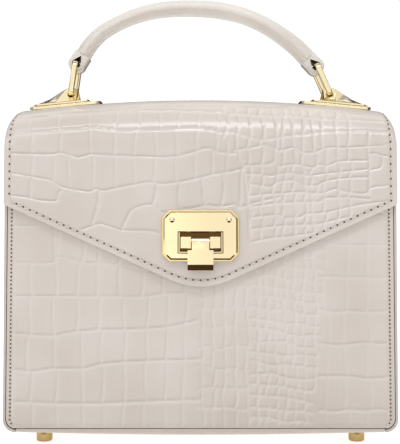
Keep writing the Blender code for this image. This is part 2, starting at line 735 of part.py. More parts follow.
def make_bridge(name, side, bag):
    sign = SIDES[side]
    place = (sign * bridge_middle(), 0, bridge_seat())
    frame = add_empty("bridge_frame_" + side, place, bag, (0, sign * bridge_tilt(), 0))

    plate_name = "bridge_plate_" + side
    half_length = BRIDGE_LENGTH / 2
    mesh = saddle_mesh(
        plate_name, -half_length, half_length, BRIDGE_PLATE_DEPTH, BRIDGE_PLATE_RADIUS, 0.0, BRIDGE_PLATE_WALL
    )
    add_piece(plate_name, mesh, gold_material(plate_name), frame, radians(40))

    up = BRIDGE_PLATE_WALL + BRIDGE_GAP
    shells = []
    hollows = []
    for row in BRIDGE_SECTIONS:
        x = sign * (row["along"] - 0.5) * BRIDGE_LENGTH
        rise = row["rise"] * BRIDGE_RISE
        cheek = row["cheek"] * BRIDGE_CHEEK
        shells.append(cheek_section(x, rise, cheek, BRIDGE_FOOT_WALL / 2, up))
        if row["hollow"]:
            hollows.append(hollow_section(row, x, up))
    hollows.insert(0, [(x - sign * BRIDGE_SHEET, y, z) for x, y, z in hollows[0]])
    bridge = add_piece(name, tube_mesh(name, shells), gold_material(name, GOLD_PALE), frame)

    foot_name = "bridge_foot_" + side
    ends = sorted(sign * (share - 0.5) * BRIDGE_LENGTH for share in BRIDGE_FOOT.values())
    foot_depth = 2 * (BRIDGE_CHEEK + BRIDGE_FLANGE)
    mesh = saddle_mesh(foot_name, *ends, foot_depth, BRIDGE_FLANGE, up, BRIDGE_FOOT_WALL)
    join(bridge, add_cutter(foot_name, mesh, frame))
    hollow_name = "bridge_hollow_" + side
    cut(bridge, add_cutter(hollow_name, tube_mesh(hollow_name, hollows), frame))

    reach = BRIDGE_CHEEK + 2 * BRIDGE_FLANGE
    ends = []
    for end, radius in ((SLOT_WIDE_END, SLOT_BIG_RADIUS), (SLOT_NARROW_END, SLOT_SMALL_RADIUS)):
        x = (end["along"] - 0.5) * BRIDGE_LENGTH
        ends.append((x, up + end["rise"] * BRIDGE_RISE, radius))
    (wide_x, wide_z, wide_r), (narrow_x, narrow_z, narrow_r) = ends
    aim = atan2(narrow_z - wide_z, narrow_x - wide_x)
    outline = arc((wide_x, wide_z), wide_r, aim + pi / 2, aim + 3 * pi / 2, 8)
    outline += arc((narrow_x, narrow_z), narrow_r, aim - pi / 2, aim + pi / 2, 4)
    outline = [(sign * x, z) for x, z in outline]
    slot_name = "strap_slot_cutter_" + side
    cut(bridge, add_cutter(slot_name, prism_mesh(slot_name, outline, -reach, reach), frame))

    hole_name = "ring_hole_cutter_" + side
    centre = (sign * (RING_ALONG - 0.5) * BRIDGE_LENGTH, BRIDGE_PLATE_WALL + RING_SEAT)
    hole = circle(centre, ring_reach() + RING_HOLE_CLEARANCE)
    cut(bridge, add_cutter(hole_name, prism_mesh(hole_name, hole, -reach, reach), frame))


def ring_reach():
    """From the middle of the ring's bar to its rounded edges."""
    return RING_WIRE / 2 * sqrt(2) - RING_EDGE * (sqrt(2) - 1)


def ring_foot(side):
    """Middle (x, z) of a ring's lower bar."""
    along = RING_ALONG * BRIDGE_LENGTH
    return bridge_point(SIDES[side], along, BRIDGE_PLATE_WALL + RING_SEAT)


def ring_head(side):
    """Middle (x, z) of a ring's upper bar."""
    x, z = ring_foot(side)
    lean = -SIDES[side] * RING_LEAN[side]
    return x + RING_HEIGHT * sin(lean), z + RING_HEIGHT * cos(lean)


def make_ring(name, side, bag):
    """A square bar bent to a rectangle with its origin on the lower bar."""
    path = rounded_rectangle(RING_DEPTH, RING_HEIGHT, RING_CORNER, 3)
    bar = rounded_rectangle(RING_WIRE, RING_WIRE, RING_EDGE, 2)
    count = len(path)
    rings = []
    for k, (y, z) in enumerate(path):
        before = path[k - 1]
        after = path[(k + 1) % count]
        along = Vector((after[0] - before[0], after[1] - before[1])).normalized()
        out = (along[1], -along[0])
        rings.append([(a, y + out[0] * b, z + RING_HEIGHT / 2 + out[1] * b) for a, b in bar])
    ring = add_piece(name, tube_mesh(name, rings, True), gold_material(name), bag, radians(50))
    x, z = ring_foot(side)
    ring.location = (x, 0, z)
    ring.rotation_euler = (0, -SIDES[side] * RING_LEAN[side], 0)


def handle_end(side):
    x, z = ring_head(side)
    return (
        x - SIDES[side] * LOOP_LENGTH * cos(LOOP_ANGLE[side]),
        z + LOOP_LENGTH * sin(LOOP_ANGLE[side]),
    )


def make_loop(name, side, bag):
    """A strap folded round the ring's upper bar, its two plies meeting at the handle."""
    x, z = ring_head(side)
    inside = LOOP_INSIDE_RADIUS
    outside = inside + LOOP_STRAP
    lift = inside - ring_reach() - GAP
    share = HANDLE_STATIONS[0 if side == "left" else -1]["thickness"]
    half_end = min(HANDLE_THICKNESS * share / 2, outside)
    top = LOOP_LENGTH - GAP
    outer_half = arc((0, lift), outside, -pi / 2, radians(12), 8) + [(half_end, top)]
    inner_half = arc((0, lift), inside, -pi / 2, radians(18), 8)
    inner_half.append((LOOP_PLY_SPACE, top - LOOP_PLY_LENGTH))
    mesh = frame_mesh(name, mirrored(outer_half), mirrored(inner_half), -LOOP_DEPTH / 2, LOOP_DEPTH / 2)
    loop = add_piece(name, mesh, leather_material(name, LEATHER_DARK), bag, radians(35))
    loop.location = (x, 0, z)
    loop.rotation_euler = (0, -SIDES[side] * (pi / 2 - LOOP_ANGLE[side]), 0)


def handle_path():
    """Middle line and thickness of the handle, as (x, z, thickness) points."""
    left = Vector(handle_end("left"))
    right = Vector(handle_end("right"))
    rows = []
    for row in HANDLE_STATIONS:
        x, z = left + (right - left) * (row["across"] + 1) / 2
        rows.append(Vector((x, z + row["height"] * HANDLE_RISE, row["thickness"] * HANDLE_THICKNESS)))
    slopes = [(rows[k + 1] - rows[k - 1]) / 2 for k in range(1, len(rows) - 1)]
    first = (rows[1] - rows[0]).length
    last = (rows[-1] - rows[-2]).length
    start = Vector((cos(LOOP_ANGLE["left"]), sin(LOOP_ANGLE["left"]), 0)) * first
    end = Vector((cos(LOOP_ANGLE["right"]), -sin(LOOP_ANGLE["right"]), 0)) * last
    slopes = [start, *slopes, end]
    points = []
    for k in range(len(rows) - 1):
        for i in range(HANDLE_STEPS):
            t = i / HANDLE_STEPS
            points.append(
                rows[k] * (2 * t**3 - 3 * t**2 + 1)
                + slopes[k] * (t**3 - 2 * t**2 + t)
                + rows[k + 1] * (3 * t**2 - 2 * t**3)
                + slopes[k + 1] * (t**3 - t**2)
            )
    points.append(rows[-1])
    return points, start, end


def make_handle(bag):
    """A padded tube with an oval section, cut flat at both ends."""
    points, start, end = handle_path()
    rings = []
    for k, point in enumerate(points):
        if k == 0:
            along = start
        elif k == len(points) - 1:
            along = end
        else:
            along = points[k + 1] - points[k - 1]
        size = hypot(along[0], along[1])
        out = (-along[1] / size, along[0] / size)
        ring = []
        for i in range(HANDLE_SIDES):
            turn = 2 * pi * i / HANDLE_SIDES
            up = point[2] / 2 * sin(turn)
            ring.append((point[0] + out[0] * up, HANDLE_DEPTH / 2 * cos(turn), point[1] + out[1] * up))
        rings.append(ring)
    name = "handle_grip"
    add_piece(name, tube_mesh(name, rings), leather_material(name), bag, radians(50))


def front_reach():
    """How far the clasp's tongue stands in front of the middle of the body."""
    y, _ = face_point(CLASP_HEIGHT, GAP + FLAP_WALL)
    depth = -plate_front() - GAP - TONGUE_WALL
    height = pin_place()[1] + TONGUE_BEVEL - TONGUE_LENGTH
    return -(y + depth * cos(LEAN) + height * sin(LEAN))


def back_reach():
    return face_y(BOTTOM_HEIGHT + BOTTOM_SAG)


def main():
    clear_scene()
    bag = add_empty("handbag", (0, (front_reach() - back_reach()) / 2, 0))
    y, z = face_point(CLASP_HEIGHT, GAP + FLAP_WALL)
    clasp_frame = add_empty("clasp_frame", (0, y, z), bag, (-LEAN, 0, 0))

    make_panel("front_panel", -1, bag)
    make_panel("back_panel", 1, bag)
    make_gusset("gusset_left", -1, bag)
    make_gusset("gusset_right", 1, bag)
    make_bottom(bag)
    make_flap(bag, clasp_frame)
    for side, sign in SIDES.items():
        x = sign * (BODY_WIDTH / 2 - FOOT_SIDE_INSET)
        y = BOTTOM_DEPTH / 2 - FOOT_FACE_INSET
        make_foot("foot_front_" + side, x, -y, bag)
        make_foot("foot_back_" + side, x, y, bag)
    make_clasp_plates(clasp_frame)
    make_rivet("clasp_rivet_left", -1, clasp_frame)
    make_rivet("clasp_rivet_right", 1, clasp_frame)
    make_clasp_base(clasp_frame)
    make_clasp_pin(clasp_frame)
    make_clasp_tongue(clasp_frame)
    for side in SIDES:
        make_bridge("bridge_" + side, side, bag)
        make_ring("ring_" + side, side, bag)
        make_loop("handle_loop_" + side, side, bag)
    make_handle(bag)


main()
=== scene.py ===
"""Looks of the top-handle handbag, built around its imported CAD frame.

The leather pieces are walls over fine grids whose surface carries the crocodile
emboss as real relief, with stitches laid on as small meshes. The metal pieces are
the CAD shapes with rounded edges and polished gold. Metres, +Z up, front towards -Y.
"""

from math import asin, cos, pi, radians, sin, sqrt, tan

import bmesh
import bpy
import numpy as np
from mathutils import Matrix, Vector


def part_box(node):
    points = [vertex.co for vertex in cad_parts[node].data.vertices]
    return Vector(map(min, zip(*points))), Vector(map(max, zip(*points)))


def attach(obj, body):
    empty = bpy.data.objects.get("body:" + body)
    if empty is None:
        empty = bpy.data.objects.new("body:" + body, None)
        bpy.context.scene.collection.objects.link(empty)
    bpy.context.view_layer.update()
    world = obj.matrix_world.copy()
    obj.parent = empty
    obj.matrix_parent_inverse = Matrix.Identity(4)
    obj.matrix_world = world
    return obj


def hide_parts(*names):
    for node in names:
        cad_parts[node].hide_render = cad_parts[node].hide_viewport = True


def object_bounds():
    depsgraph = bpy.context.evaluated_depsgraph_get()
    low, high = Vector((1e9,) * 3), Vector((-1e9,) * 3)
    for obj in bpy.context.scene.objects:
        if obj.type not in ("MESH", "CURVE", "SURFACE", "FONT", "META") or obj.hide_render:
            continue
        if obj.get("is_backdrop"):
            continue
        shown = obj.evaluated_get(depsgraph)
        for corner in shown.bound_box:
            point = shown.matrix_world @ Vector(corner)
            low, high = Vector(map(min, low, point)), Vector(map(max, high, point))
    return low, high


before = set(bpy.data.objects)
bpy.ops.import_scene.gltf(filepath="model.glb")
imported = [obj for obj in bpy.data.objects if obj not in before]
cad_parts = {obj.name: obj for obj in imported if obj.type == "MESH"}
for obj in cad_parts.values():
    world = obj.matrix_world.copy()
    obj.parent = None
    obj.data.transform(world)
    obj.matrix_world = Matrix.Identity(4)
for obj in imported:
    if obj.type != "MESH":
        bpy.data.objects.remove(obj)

cad_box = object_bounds()

MM = 0.001
GAP = 0.3 * MM

# The body, as in the CAD source
BODY_WIDTH = 210 * MM
BOTTOM_DEPTH = 100 * MM
LEAN = radians(2.8)
SEAM_HEIGHT = 9.6 * MM
PANEL_TOP = 158 * MM
PANEL_WALL = 2.0 * MM
GUSSET_WALL = 1.4 * MM
CORNER_RADIUS = 7.0 * MM
BOTTOM_HEIGHT = 5.7 * MM
BOTTOM_SAG = 1.7 * MM
BOTTOM_WALL = 2.0 * MM
BOTTOM_EDGE_RADIUS = 3.0 * MM
BODY_TOP = 185.0 * MM
SHOULDER_RADIUS = 24.7 * MM
CROWN_ANGLE = radians(9)
DOME_DROP = 6.9 * MM
SIDE_ROLL = 6.0 * MM
FACE_TURN = pi / 2 - LEAN

# The flap
FLAP_WIDTH = 209.6 * MM
FLAP_WALL = 3.0 * MM
FLAP_CORNER_HEIGHT = 128 * MM
FLAP_CORNER_RADIUS = 3.5 * MM
FLAP_SLOPE = radians(24.3)
FLAP_TIP_RADIUS = 38 * MM
FLAP_BACK_HEIGHT = 130 * MM
FLAP_SKIN = GAP + FLAP_WALL

# Feet, clasp, rings, loops and handle
FOOT_DIAMETER = 8.6 * MM
CLASP_HEIGHT = 111.5 * MM
PLATE_FRONT = 3.5 * MM
WINDOW_WIDTH = 24.1 * MM
WINDOW_HEIGHT = 11.7 * MM
WINDOW_DROP = 3.65 * MM
RIVET_DIAMETER = 3.0 * MM
RIVET_RISE = 1.0 * MM
POST_WIDTH = 5.7 * MM
POST_HEIGHT = 6.2 * MM
POST_SPACE = 9.8 * MM
POST_PROUD = 1.7 * MM
POST_DROP = 3.8 * MM
RING_WIRE = 3.0 * MM
RING_EDGE = 0.7 * MM
RING_DEPTH = 20 * MM
RING_HEIGHT = 17.6 * MM
RING_CORNER = 2.2 * MM
RING_LEAN = {"left": radians(8), "right": radians(24)}
LOOP_STRAP = 2.0 * MM
LOOP_DEPTH = 12 * MM
LOOP_INSIDE_RADIUS = 2.6 * MM
LOOP_LENGTH = 7.0 * MM
LOOP_PLY_LENGTH = 1.5 * MM
LOOP_PLY_SPACE = 0.12 * MM
LOOP_ANGLE = {"left": radians(58), "right": radians(47)}
HANDLE_RISE = 28.1 * MM
HANDLE_THICKNESS = 9.0 * MM
HANDLE_DEPTH = 12.8 * MM
# Place across, height and thickness as shares of half the span, of
# HANDLE_RISE and of HANDLE_THICKNESS.
HANDLE_STATIONS = (
    (-1.00, 0.00, 1.00), (-0.86, 0.41, 0.93), (-0.65, 0.71, 0.89), (-0.43, 0.90, 0.95),
    (-0.22, 0.98, 0.98), (0.00, 1.00, 1.02), (0.21, 0.97, 1.04), (0.43, 0.86, 1.00),
    (0.64, 0.65, 1.02), (0.855, 0.32, 1.10), (1.00, 0.00, 1.12),
)
SIDES = {"left": -1, "right": 1}

# Relief of the leather
PAINTED_LIGHT_SIDE, PAINTED_LIGHT_UP = 0.85, 0.8  # painted light: relief flanks facing up and left are painted paler, those facing away darker
GROOVE_DEPTH = 0.42 * MM
GROOVE_WIDTH = 0.48 * MM
PILLOW_HEIGHT = 0.24 * MM
PILLOW_REACH = 2.4 * MM
GROOVE_REACH = 4 * MM  # how far from a groove its distance is worked out
# how much paler the grooves are painted: partly the leather's paler finish in them, partly painted
# highlight of light caught on their edges
GROOVE_TINT_AND_HIGHLIGHT = 0.55
FAINT_OFFSET = 1.5 * MM  # how much farther off a groove without strength counts
CHANNEL_DEPTH = 0.22 * MM  # pressed under the stitches
CHANNEL_WIDTH = 0.55 * MM
SWELL = 0.12 * MM
HANDLE_RELIEF = 0.3  # share of the body's relief
HANDLE_TINT_AND_LIGHT = 0.35
SEAM_DEPTH = 0.3 * MM
SEAM_WIDTH = 0.5 * MM
UNDERSIDE_DEPTH = 0.1 * MM
STITCH_INSET = 3.1 * MM
PANEL_STITCH_INSET = 2.3 * MM
STITCH_RINGS, STITCH_SIDES = 6, 6
STITCH_SHARE = 0.66  # of the pitch
STITCH_TILT = 0.12
EDGE_ROUND = 0.5 * MM
FLAP_PITCH = 3.9 * MM  # of the stitches
PANEL_PITCH = 2.1 * MM
PANEL_STITCH = {"radius": 0.28 * MM, "hole_radius": 0.5 * MM}
TINY = 1e-9

# Steps of the leather's grids
FRONT_STEP = 0.74 * MM
TOP_STEP = 0.86 * MM
FLAP_BACK_STEP = 1.1 * MM
BACK_STEP = 0.92 * MM
GUSSET_STEP = 0.85 * MM
FLAP_FRONT_ROWS = 105
ROLL_COLUMNS = 9
GUSSET_ROWS = 189

# Rows of the emboss on the front of the flap, from the top down, as points in millimetres
# across and up the leather, each with the places of the grooves up to the row above it.
FLAP_ROWS = (
    (((-102, 182), (-60, 183.5), (-20, 182), (12, 180), (30, 179)),
     ()),
    (((-102, 169), (-67, 170.5), (-57.5, 171.5), (-51, 170), (-40, 168.5), (-15, 169), (2.5, 169),
      (12, 166.5), (19, 164.5), (23, 164), (28, 166.5)),
     (-92, -76, -60, -45.5, -33, -21.5, -11, -0.5, 10, 20)),
    (((-102, 155.5), (-79.5, 155), (-75, 156), (-66.5, 153.5), (-62, 154), (-58, 155), (-52, 154.5),
      (-40, 154), (-17, 153.5), (-7.5, 155), (0.5, 157.5), (4.5, 158), (10.5, 156), (21.5, 155.5),
      (29, 159), (34, 161.5)),
     (-89.5, -74.5, -58.5, -46, -35, -23.5, -12.5, -1.5, 8.5, 14.5)),
    (((-102, 145), (-93, 143.5), (-81.5, 141.5), (-76, 138.5), (-72, 137), (-59.5, 135), (-56, 136.5),
      (-52, 135.5), (-44, 137), (-34, 139), (-27, 140), (-20.5, 139), (-9, 140.5), (2, 143), (8.5, 144.5),
      (15.5, 145.5), (21.5, 147), (28.5, 148)),
     (-89.5, -78, -70, -57, -45, -35.5, -24.5, -13, -2.5, 6.5, 14.5)),
)
FLAP_LINES = (
    ((-102, 133), (-93, 132), (-86, 130.5), (-77, 130), (-76, 133), (-74.5, 135.5)),
    ((-90, 143), (-90.5, 132)),
    ((-54, 135.5), (-55, 127), (-57.5, 118)),
    ((-63.5, 114.5), (-59.5, 116), (-55, 117.5), (-52, 117.5), (-41, 114.5), (-27, 114), (-21.5, 112.5)),
    ((-42, 114), (-39, 121), (-36.5, 125), (-32.5, 127), (-26, 128), (-21, 124), (-18.5, 124)),
    ((-25.5, 128), (-24, 133), (-23.5, 139)),
    ((-11, 125.5), (-4.5, 126), (2.5, 127.5), (11, 127), (17.5, 128), (21, 126.5), (30.5, 129.5),
     (42, 132)),
    ((-11, 140), (-11.5, 133), (-11, 125.5)),
    ((1, 142), (1.5, 135), (2.5, 127.5)),
    ((12, 145), (12.5, 136), (11, 127)),
    ((22, 147), (21.5, 137), (21, 127)),
)
# Rows, other lines and columns of the small scales to the right, from the top down
SMALL_ROWS = (
    ((8, 187), (30, 186), (60, 186.5), (104, 187)),
    ((8, 178.5), (22, 179), (34, 177.5), (50, 178.5), (64, 177.5), (80, 178.5), (104, 179)),
    ((12, 168), (22, 165.5), (30, 163), (38, 163.5), (49, 165.6), (57, 166.5), (68, 168.5), (84, 170),
     (104, 170.5)),
    ((18, 157), (30, 159), (35, 160), (42, 157), (50, 158.6), (54, 156), (61, 156), (68, 158.6), (81, 159),
     (104, 161)),
    ((20, 149), (35, 149.4), (39, 150.5), (42.5, 148.4), (47, 149.4), (53, 149.2), (60, 147.8), (63, 149.4),
     (68, 149), (75, 151.3), (90, 151.6)),
    ((20, 144), (29, 144.5), (37, 143.5), (48, 145), (58, 143.6), (70, 145), (90, 147)),
    ((22, 139.5), (30, 138.5), (37.5, 137.7), (41, 140), (49.5, 141), (54, 138.8), (62, 138.2), (65, 140),
     (71, 141.4), (82, 142.5), (90, 142.5)),
    ((23, 132), (32, 133.5), (42, 134), (53, 134.8), (64, 134), (72, 136.5), (77, 135.2), (84, 134),
     (88.5, 134.2), (90.5, 136.6), (95, 137.7), (104, 138.6)),
    ((24, 126.5), (38, 128.5), (50, 129.3), (64, 129.7), (65.5, 131.3), (77, 132), (90, 131)),
    ((25, 121), (40, 122.5), (45, 121), (53, 121.5), (56, 123), (67, 124), (80, 127), (92, 129),
     (104, 130)),
    ((26, 115), (40, 116.5), (53, 117.3), (64, 118), (76, 121), (84, 122)),
    ((24, 107.5), (36, 110), (46, 111), (60, 113)),
)
SMALL_LINES = (
    ((12.4, 187), (12.4, 166), (20, 153), (22.6, 149), (25.4, 128), (26.3, 108)),
    ((90, 155.5), (94, 155.3), (97.5, 154.2), (104, 153.7)),
    ((90, 146.4), (95.3, 147.5), (97, 149.4), (97, 153)),
    ((90, 170), (89.6, 158), (90.2, 146), (90, 134)),
)
SMALL_COLUMNS = (13.6, 19.8, 26.4, 32.8, 39.8, 44.8, 50, 55.4, 60.6, 66.5, 73, 80)
PANEL_ROWS = (
    (((-102, 117), (-60, 116), (-30, 112), (0, 104), (20, 100)),
     ()),
    (((-102, 97), (-80, 97), (-77, 100), (-73, 100), (-68, 98.5), (-61, 97), (-47.5, 96.5), (-37.5, 95),
      (-30, 93), (-10, 92), (2, 90)),
     (-78, -76.2, -62.5, -54.5, -43, -31, -19, -8)),
    (((-102, 79.5), (-43.5, 79), (-30, 79), (-19.5, 80.5), (-6.5, 80.5), (2.5, 77.5)),
     (-90, -77, -65, -55, -43, -31, -19.5, -8)),
    (((-102, 60), (-86.5, 58.5), (-78, 58.5), (-70, 60), (-54.5, 61.5), (-28.5, 62), (-14.5, 63.5),
      (-1.5, 66.5)),
     (-90.5, -78, -65.5, -54, -40.5, -28, -17, -7.5)),
    (((-102, 41), (-90, 39.5), (-78, 41), (-62.5, 41), (-51.5, 43.5), (-28.5, 45), (-9, 45.5), (0, 46)),
     (-92, -77.5, -63, -52.5, -40, -28, -18, -8.5)),
    (((-102, 23.5), (-60, 22.5), (-20, 24), (0, 24.5)),
     (-90, -76.5, -62.5, -52, -40.5, -29, -18.5, -9)),
    (((-102, 5), (-50, 5), (0, 5)),
     (-89, -76, -62, -51, -41, -30, -19, -9.5)),
)
PANEL_COLUMNS = (1.5, 7.3, 13.2, 19.2, 25, 30.5, 35.5, 40.5, 45.5, 50.5, 55.5, 61)
PANEL_WIDE_COLUMNS = (67, 78, 90)

# Finishes
TILE = (0.72, 0.655, 0.60, 1.0)
TILE_DEEP = (0.66, 0.585, 0.53, 1.0)
# pale colour of the grooves' tint and of the painted highlight on the relief
PALE_TINT_AND_HIGHLIGHT = (0.86, 0.81, 0.755, 1.0)
# painted shade on relief flanks facing away from the light
PAINTED_FLANK_SHADE = (0.42, 0.34, 0.29, 1.0)
# darker leather for the gussets and the bottom: painted shade of the sides facing away from the light
SHADED_SIDE_TILE = (0.64, 0.56, 0.505, 1.0)
HANDLE_TILE = (0.82, 0.775, 0.71, 1.0)
# colour of the cut edges' paint, also laid as painted shade on the panels' strip beside their side edges
EDGE_PAINT_AND_SHADE = (0.60, 0.53, 0.47, 1.0)
# near black, for the faces inside the loops' fold
FOLD_BLACK = (0.012, 0.010, 0.008, 1.0)
THREAD = (0.83, 0.77, 0.68, 1.0)
# dark discs at the needle holes: painted shade of the holes
NEEDLE_HOLE_SHADE = (0.10, 0.075, 0.055, 1.0)
GOLD = (0.98, 0.86, 0.58, 1.0)
GOLD_DEEP = (0.93, 0.74, 0.38, 1.0)
FOOT_GOLD = (0.62, 0.45, 0.20, 1.0)
# dark brown metal in the clasp's recess: painted shade
RECESS_SHADE = (0.14, 0.075, 0.02, 1.0)

# Sizes of the finishes' noises, in cells per metre, and depths of their bumps
TONE_SCALE, WEAR_SCALE, PORE_SCALE = 22.0, 140.0, 2600.0
PLATING_SCALE, POLISH_SCALE = 60.0, 900.0
TWIST_SCALE, FIBRE_SCALE = 700.0, 5000.0
PORE_DEPTH = 0.03 * MM
FIBRE_DEPTH = 0.05 * MM
# how far the painted shade darkens flanks facing away
PAINTED_SHADE_STRENGTH = 0.75

rng = np.random.default_rng(7)


# Materials


def set_inputs(node, values):
    for key, value in values.items():
        node.inputs[key].default_value = value


def new_material(name, values):
    """A material, its node tree and its shader, whose plain inputs are given."""
    made = bpy.data.materials.new(name)
    made.use_nodes = True
    shader = made.node_tree.nodes["Principled BSDF"]
    set_inputs(shader, values)
    return made, made.node_tree, shader


def object_noise(tree, scale, detail=3.0, roughness=0.5):
    noise = tree.nodes.new("ShaderNodeTexNoise")
    set_inputs(noise, {"Scale": scale, "Detail": detail, "Roughness": roughness})
    place = tree.nodes.new("ShaderNodeTexCoord")
    tree.links.new(place.outputs["Object"], noise.inputs["Vector"])
    return noise.outputs["Fac"]


def ranged(tree, value, low, high, from_low=0.0, from_high=1.0):
    node = tree.nodes.new("ShaderNodeMapRange")
    set_inputs(node, {"From Min": from_low, "From Max": from_high, "To Min": low, "To Max": high})
    tree.links.new(value, node.inputs["Value"])
    return node.outputs["Result"]


def mixed(tree, share, first, second):
    """A colour mix; first and second are colours or sockets."""
    node = tree.nodes.new("ShaderNodeMix")
    node.data_type = "RGBA"
    tree.links.new(share, node.inputs["Factor"])
    for socket, value in zip((s for s in node.inputs if s.type == "RGBA"), (first, second)):
        if isinstance(value, tuple):
            socket.default_value = value
        else:
            tree.links.new(value, socket)
    return next(s for s in node.outputs if s.type == "RGBA")


def attribute(tree, name):
    node = tree.nodes.new("ShaderNodeAttribute")
    node.attribute_name = name
    return node.outputs["Fac"]


def bumped(tree, shader, height, distance, strength):
    bump = tree.nodes.new("ShaderNodeBump")
    set_inputs(bump, {"Strength": strength, "Distance": distance})
    tree.links.new(height, bump.inputs["Height"])
    tree.links.new(bump.outputs["Normal"], shader.inputs["Normal"])


def toned(tree, shader, noise, colour, shares):
    """Lets a noise shade the colour by shares of its red, green and blue."""
    shade = (*(c * share for c, share in zip(colour, shares)), 1.0)
    tree.links.new(mixed(tree, noise, colour, shade), shader.inputs["Base Color"])


def leather(name, tile, tile_deep, polish=PALE_TINT_AND_HIGHLIGHT, coat=0.35):
    """Glazed leather with soft tone changes, fine pores and painted cut edges. The emboss attribute
    is above zero where the grooves get a paler tint and where painted highlight lies on flanks facing
    up and left, both mixed towards polish, and below zero where painted shade darkens the flanks facing
    away."""
    made, tree, shader = new_material(name, {"Coat Weight": coat, "Coat Roughness": 0.12})
    tone = ranged(tree, object_noise(tree, TONE_SCALE), 0.0, 1.0, 0.35, 0.65)
    colour = mixed(tree, tone, tile, tile_deep)
    # the emboss attribute: groove tint, painted highlight and painted shade
    tint_and_light = attribute(tree, "groove_tint_and_painted_light")
    colour = mixed(tree, ranged(tree, tint_and_light, 0.0, 1.0), colour, polish)
    colour = mixed(tree, ranged(tree, tint_and_light, 0.0, PAINTED_SHADE_STRENGTH, 0.0, -1.0), colour, PAINTED_FLANK_SHADE)
    # the cut edges' paint, and painted shade beside the panels' side edges
    colour = mixed(tree, attribute(tree, "edge_paint_and_shade"), colour, EDGE_PAINT_AND_SHADE)
    tree.links.new(colour, shader.inputs["Base Color"])
    wear = object_noise(tree, WEAR_SCALE, 4.0, 0.6)
    tree.links.new(ranged(tree, wear, 0.26, 0.42), shader.inputs["Roughness"])
    bumped(tree, shader, object_noise(tree, PORE_SCALE, 2.0, 0.7), PORE_DEPTH, 0.2)
    return made


def gold(name, colour, roughness=0.13):
    """Polished plated metal with faint changes in tone and polish."""
    made, tree, shader = new_material(name, {"Metallic": 1.0})
    toned(tree, shader, object_noise(tree, PLATING_SCALE, 2.0), colour, (0.96, 0.93, 0.85))
    polish = object_noise(tree, POLISH_SCALE, 3.0, 0.6)
    tree.links.new(ranged(tree, polish, roughness * 0.8, roughness * 1.35), shader.inputs["Roughness"])
    return made


def thread(name, colour, roughness=0.6):
    made, tree, shader = new_material(name, {"Roughness": roughness})
    toned(tree, shader, object_noise(tree, TWIST_SCALE, 2.0), colour, (0.8, 0.8, 0.8))
    bumped(tree, shader, object_noise(tree, FIBRE_SCALE, 2.0), FIBRE_DEPTH, 0.6)
    return made


croc = leather("croc_leather", TILE, TILE_DEEP, coat=0.8)
# painted shade: the body's leather, darker, for the gussets and the bottom
shaded_side_croc = leather("shaded_side_croc_leather", SHADED_SIDE_TILE, TILE_DEEP)
handle_croc = leather("handle_croc_leather", HANDLE_TILE, TILE, coat=0.6)
fold_black = leather("loop_fold_black", FOLD_BLACK, FOLD_BLACK, FOLD_BLACK, 0.0)
polished = gold("polished_gold", GOLD)
deep_gold = gold("deep_gold", GOLD_DEEP, 0.16)
foot_gold = gold("foot_gold", FOOT_GOLD, 0.2)
shaded_recess_gold = gold("shaded_recess_gold", RECESS_SHADE, 0.35)
sewing_thread = thread("sewing_thread", THREAD)
needle_hole_shade = thread("needle_hole_shade", NEEDLE_HOLE_SHADE, 0.9)


# Meshes and pieces


def linked(name, data):
    made = bpy.data.objects.new(name, data)
    bpy.context.scene.collection.objects.link(made)
    return made


def add_piece(mesh, surfaces, node=None, body="bag", smooth=radians(40)):
    """A piece of the bag, named like its mesh, in place of a node."""
    for surface in surfaces:
        mesh.materials.append(surface)
    mesh.shade_smooth()
    mesh.set_sharp_from_angle(angle=smooth)
    piece = linked(mesh.name, mesh)
    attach(piece, body)
    if node:
        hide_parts(node)
    return piece


def mesh_of(name, points, faces, attributes=None):
    mesh = bpy.data.meshes.new(name)
    mesh.from_pydata(np.asarray(points).tolist(), [], faces)
    for key, values in (attributes or {}).items():
        made = mesh.attributes.new(key, "FLOAT", "POINT")
        made.data.foreach_set("value", np.asarray(values, np.float32))
    mesh.validate()
    return mesh


def turned_out(mesh):
    """The mesh with all its faces turned outwards."""
    bm = bmesh.new()
    bm.from_mesh(mesh)
    bmesh.ops.recalc_face_normals(bm, faces=bm.faces)
    bm.to_mesh(mesh)
    bm.free()
    return mesh


def border(columns, rows):
    """Grid places round the edge, counter-clockwise from the first corner."""
    rim = [(i, 0) for i in range(columns)]
    rim += [(columns - 1, j) for j in range(1, rows)]
    rim += [(i, rows - 1) for i in range(columns - 2, -1, -1)]
    return rim + [(0, j) for j in range(rows - 2, 0, -1)]


def grid_cells(index):
    return np.stack([index[:-1, :-1], index[1:, :-1], index[1:, 1:], index[:-1, 1:]], -1)


def outward(u, v):
    """Unit normals of a closed counter-clockwise outline."""
    du = np.roll(u, -1) - np.roll(u, 1)
    dv = np.roll(v, -1) - np.roll(v, 1)
    size = np.maximum(np.hypot(du, dv), TINY)
    return dv / size, -du / size


def surface_normal(place, u, v):
    step = 0.05 * MM
    across = place(u + step, v, 0.0) - place(u - step, v, 0.0)
    up = place(u, v + step, 0.0) - place(u, v - step, 0.0)
    normal = np.cross(across, up)
    return normal / np.linalg.norm(normal, axis=-1, keepdims=True)


COARSE = 4  # steps of the outer grid in one of the inside
cell_rim = border(COARSE + 1, COARSE + 1)
CELL_RIM = cell_rim[:1] + cell_rim[:0:-1]  # clockwise, as the inside faces the other way


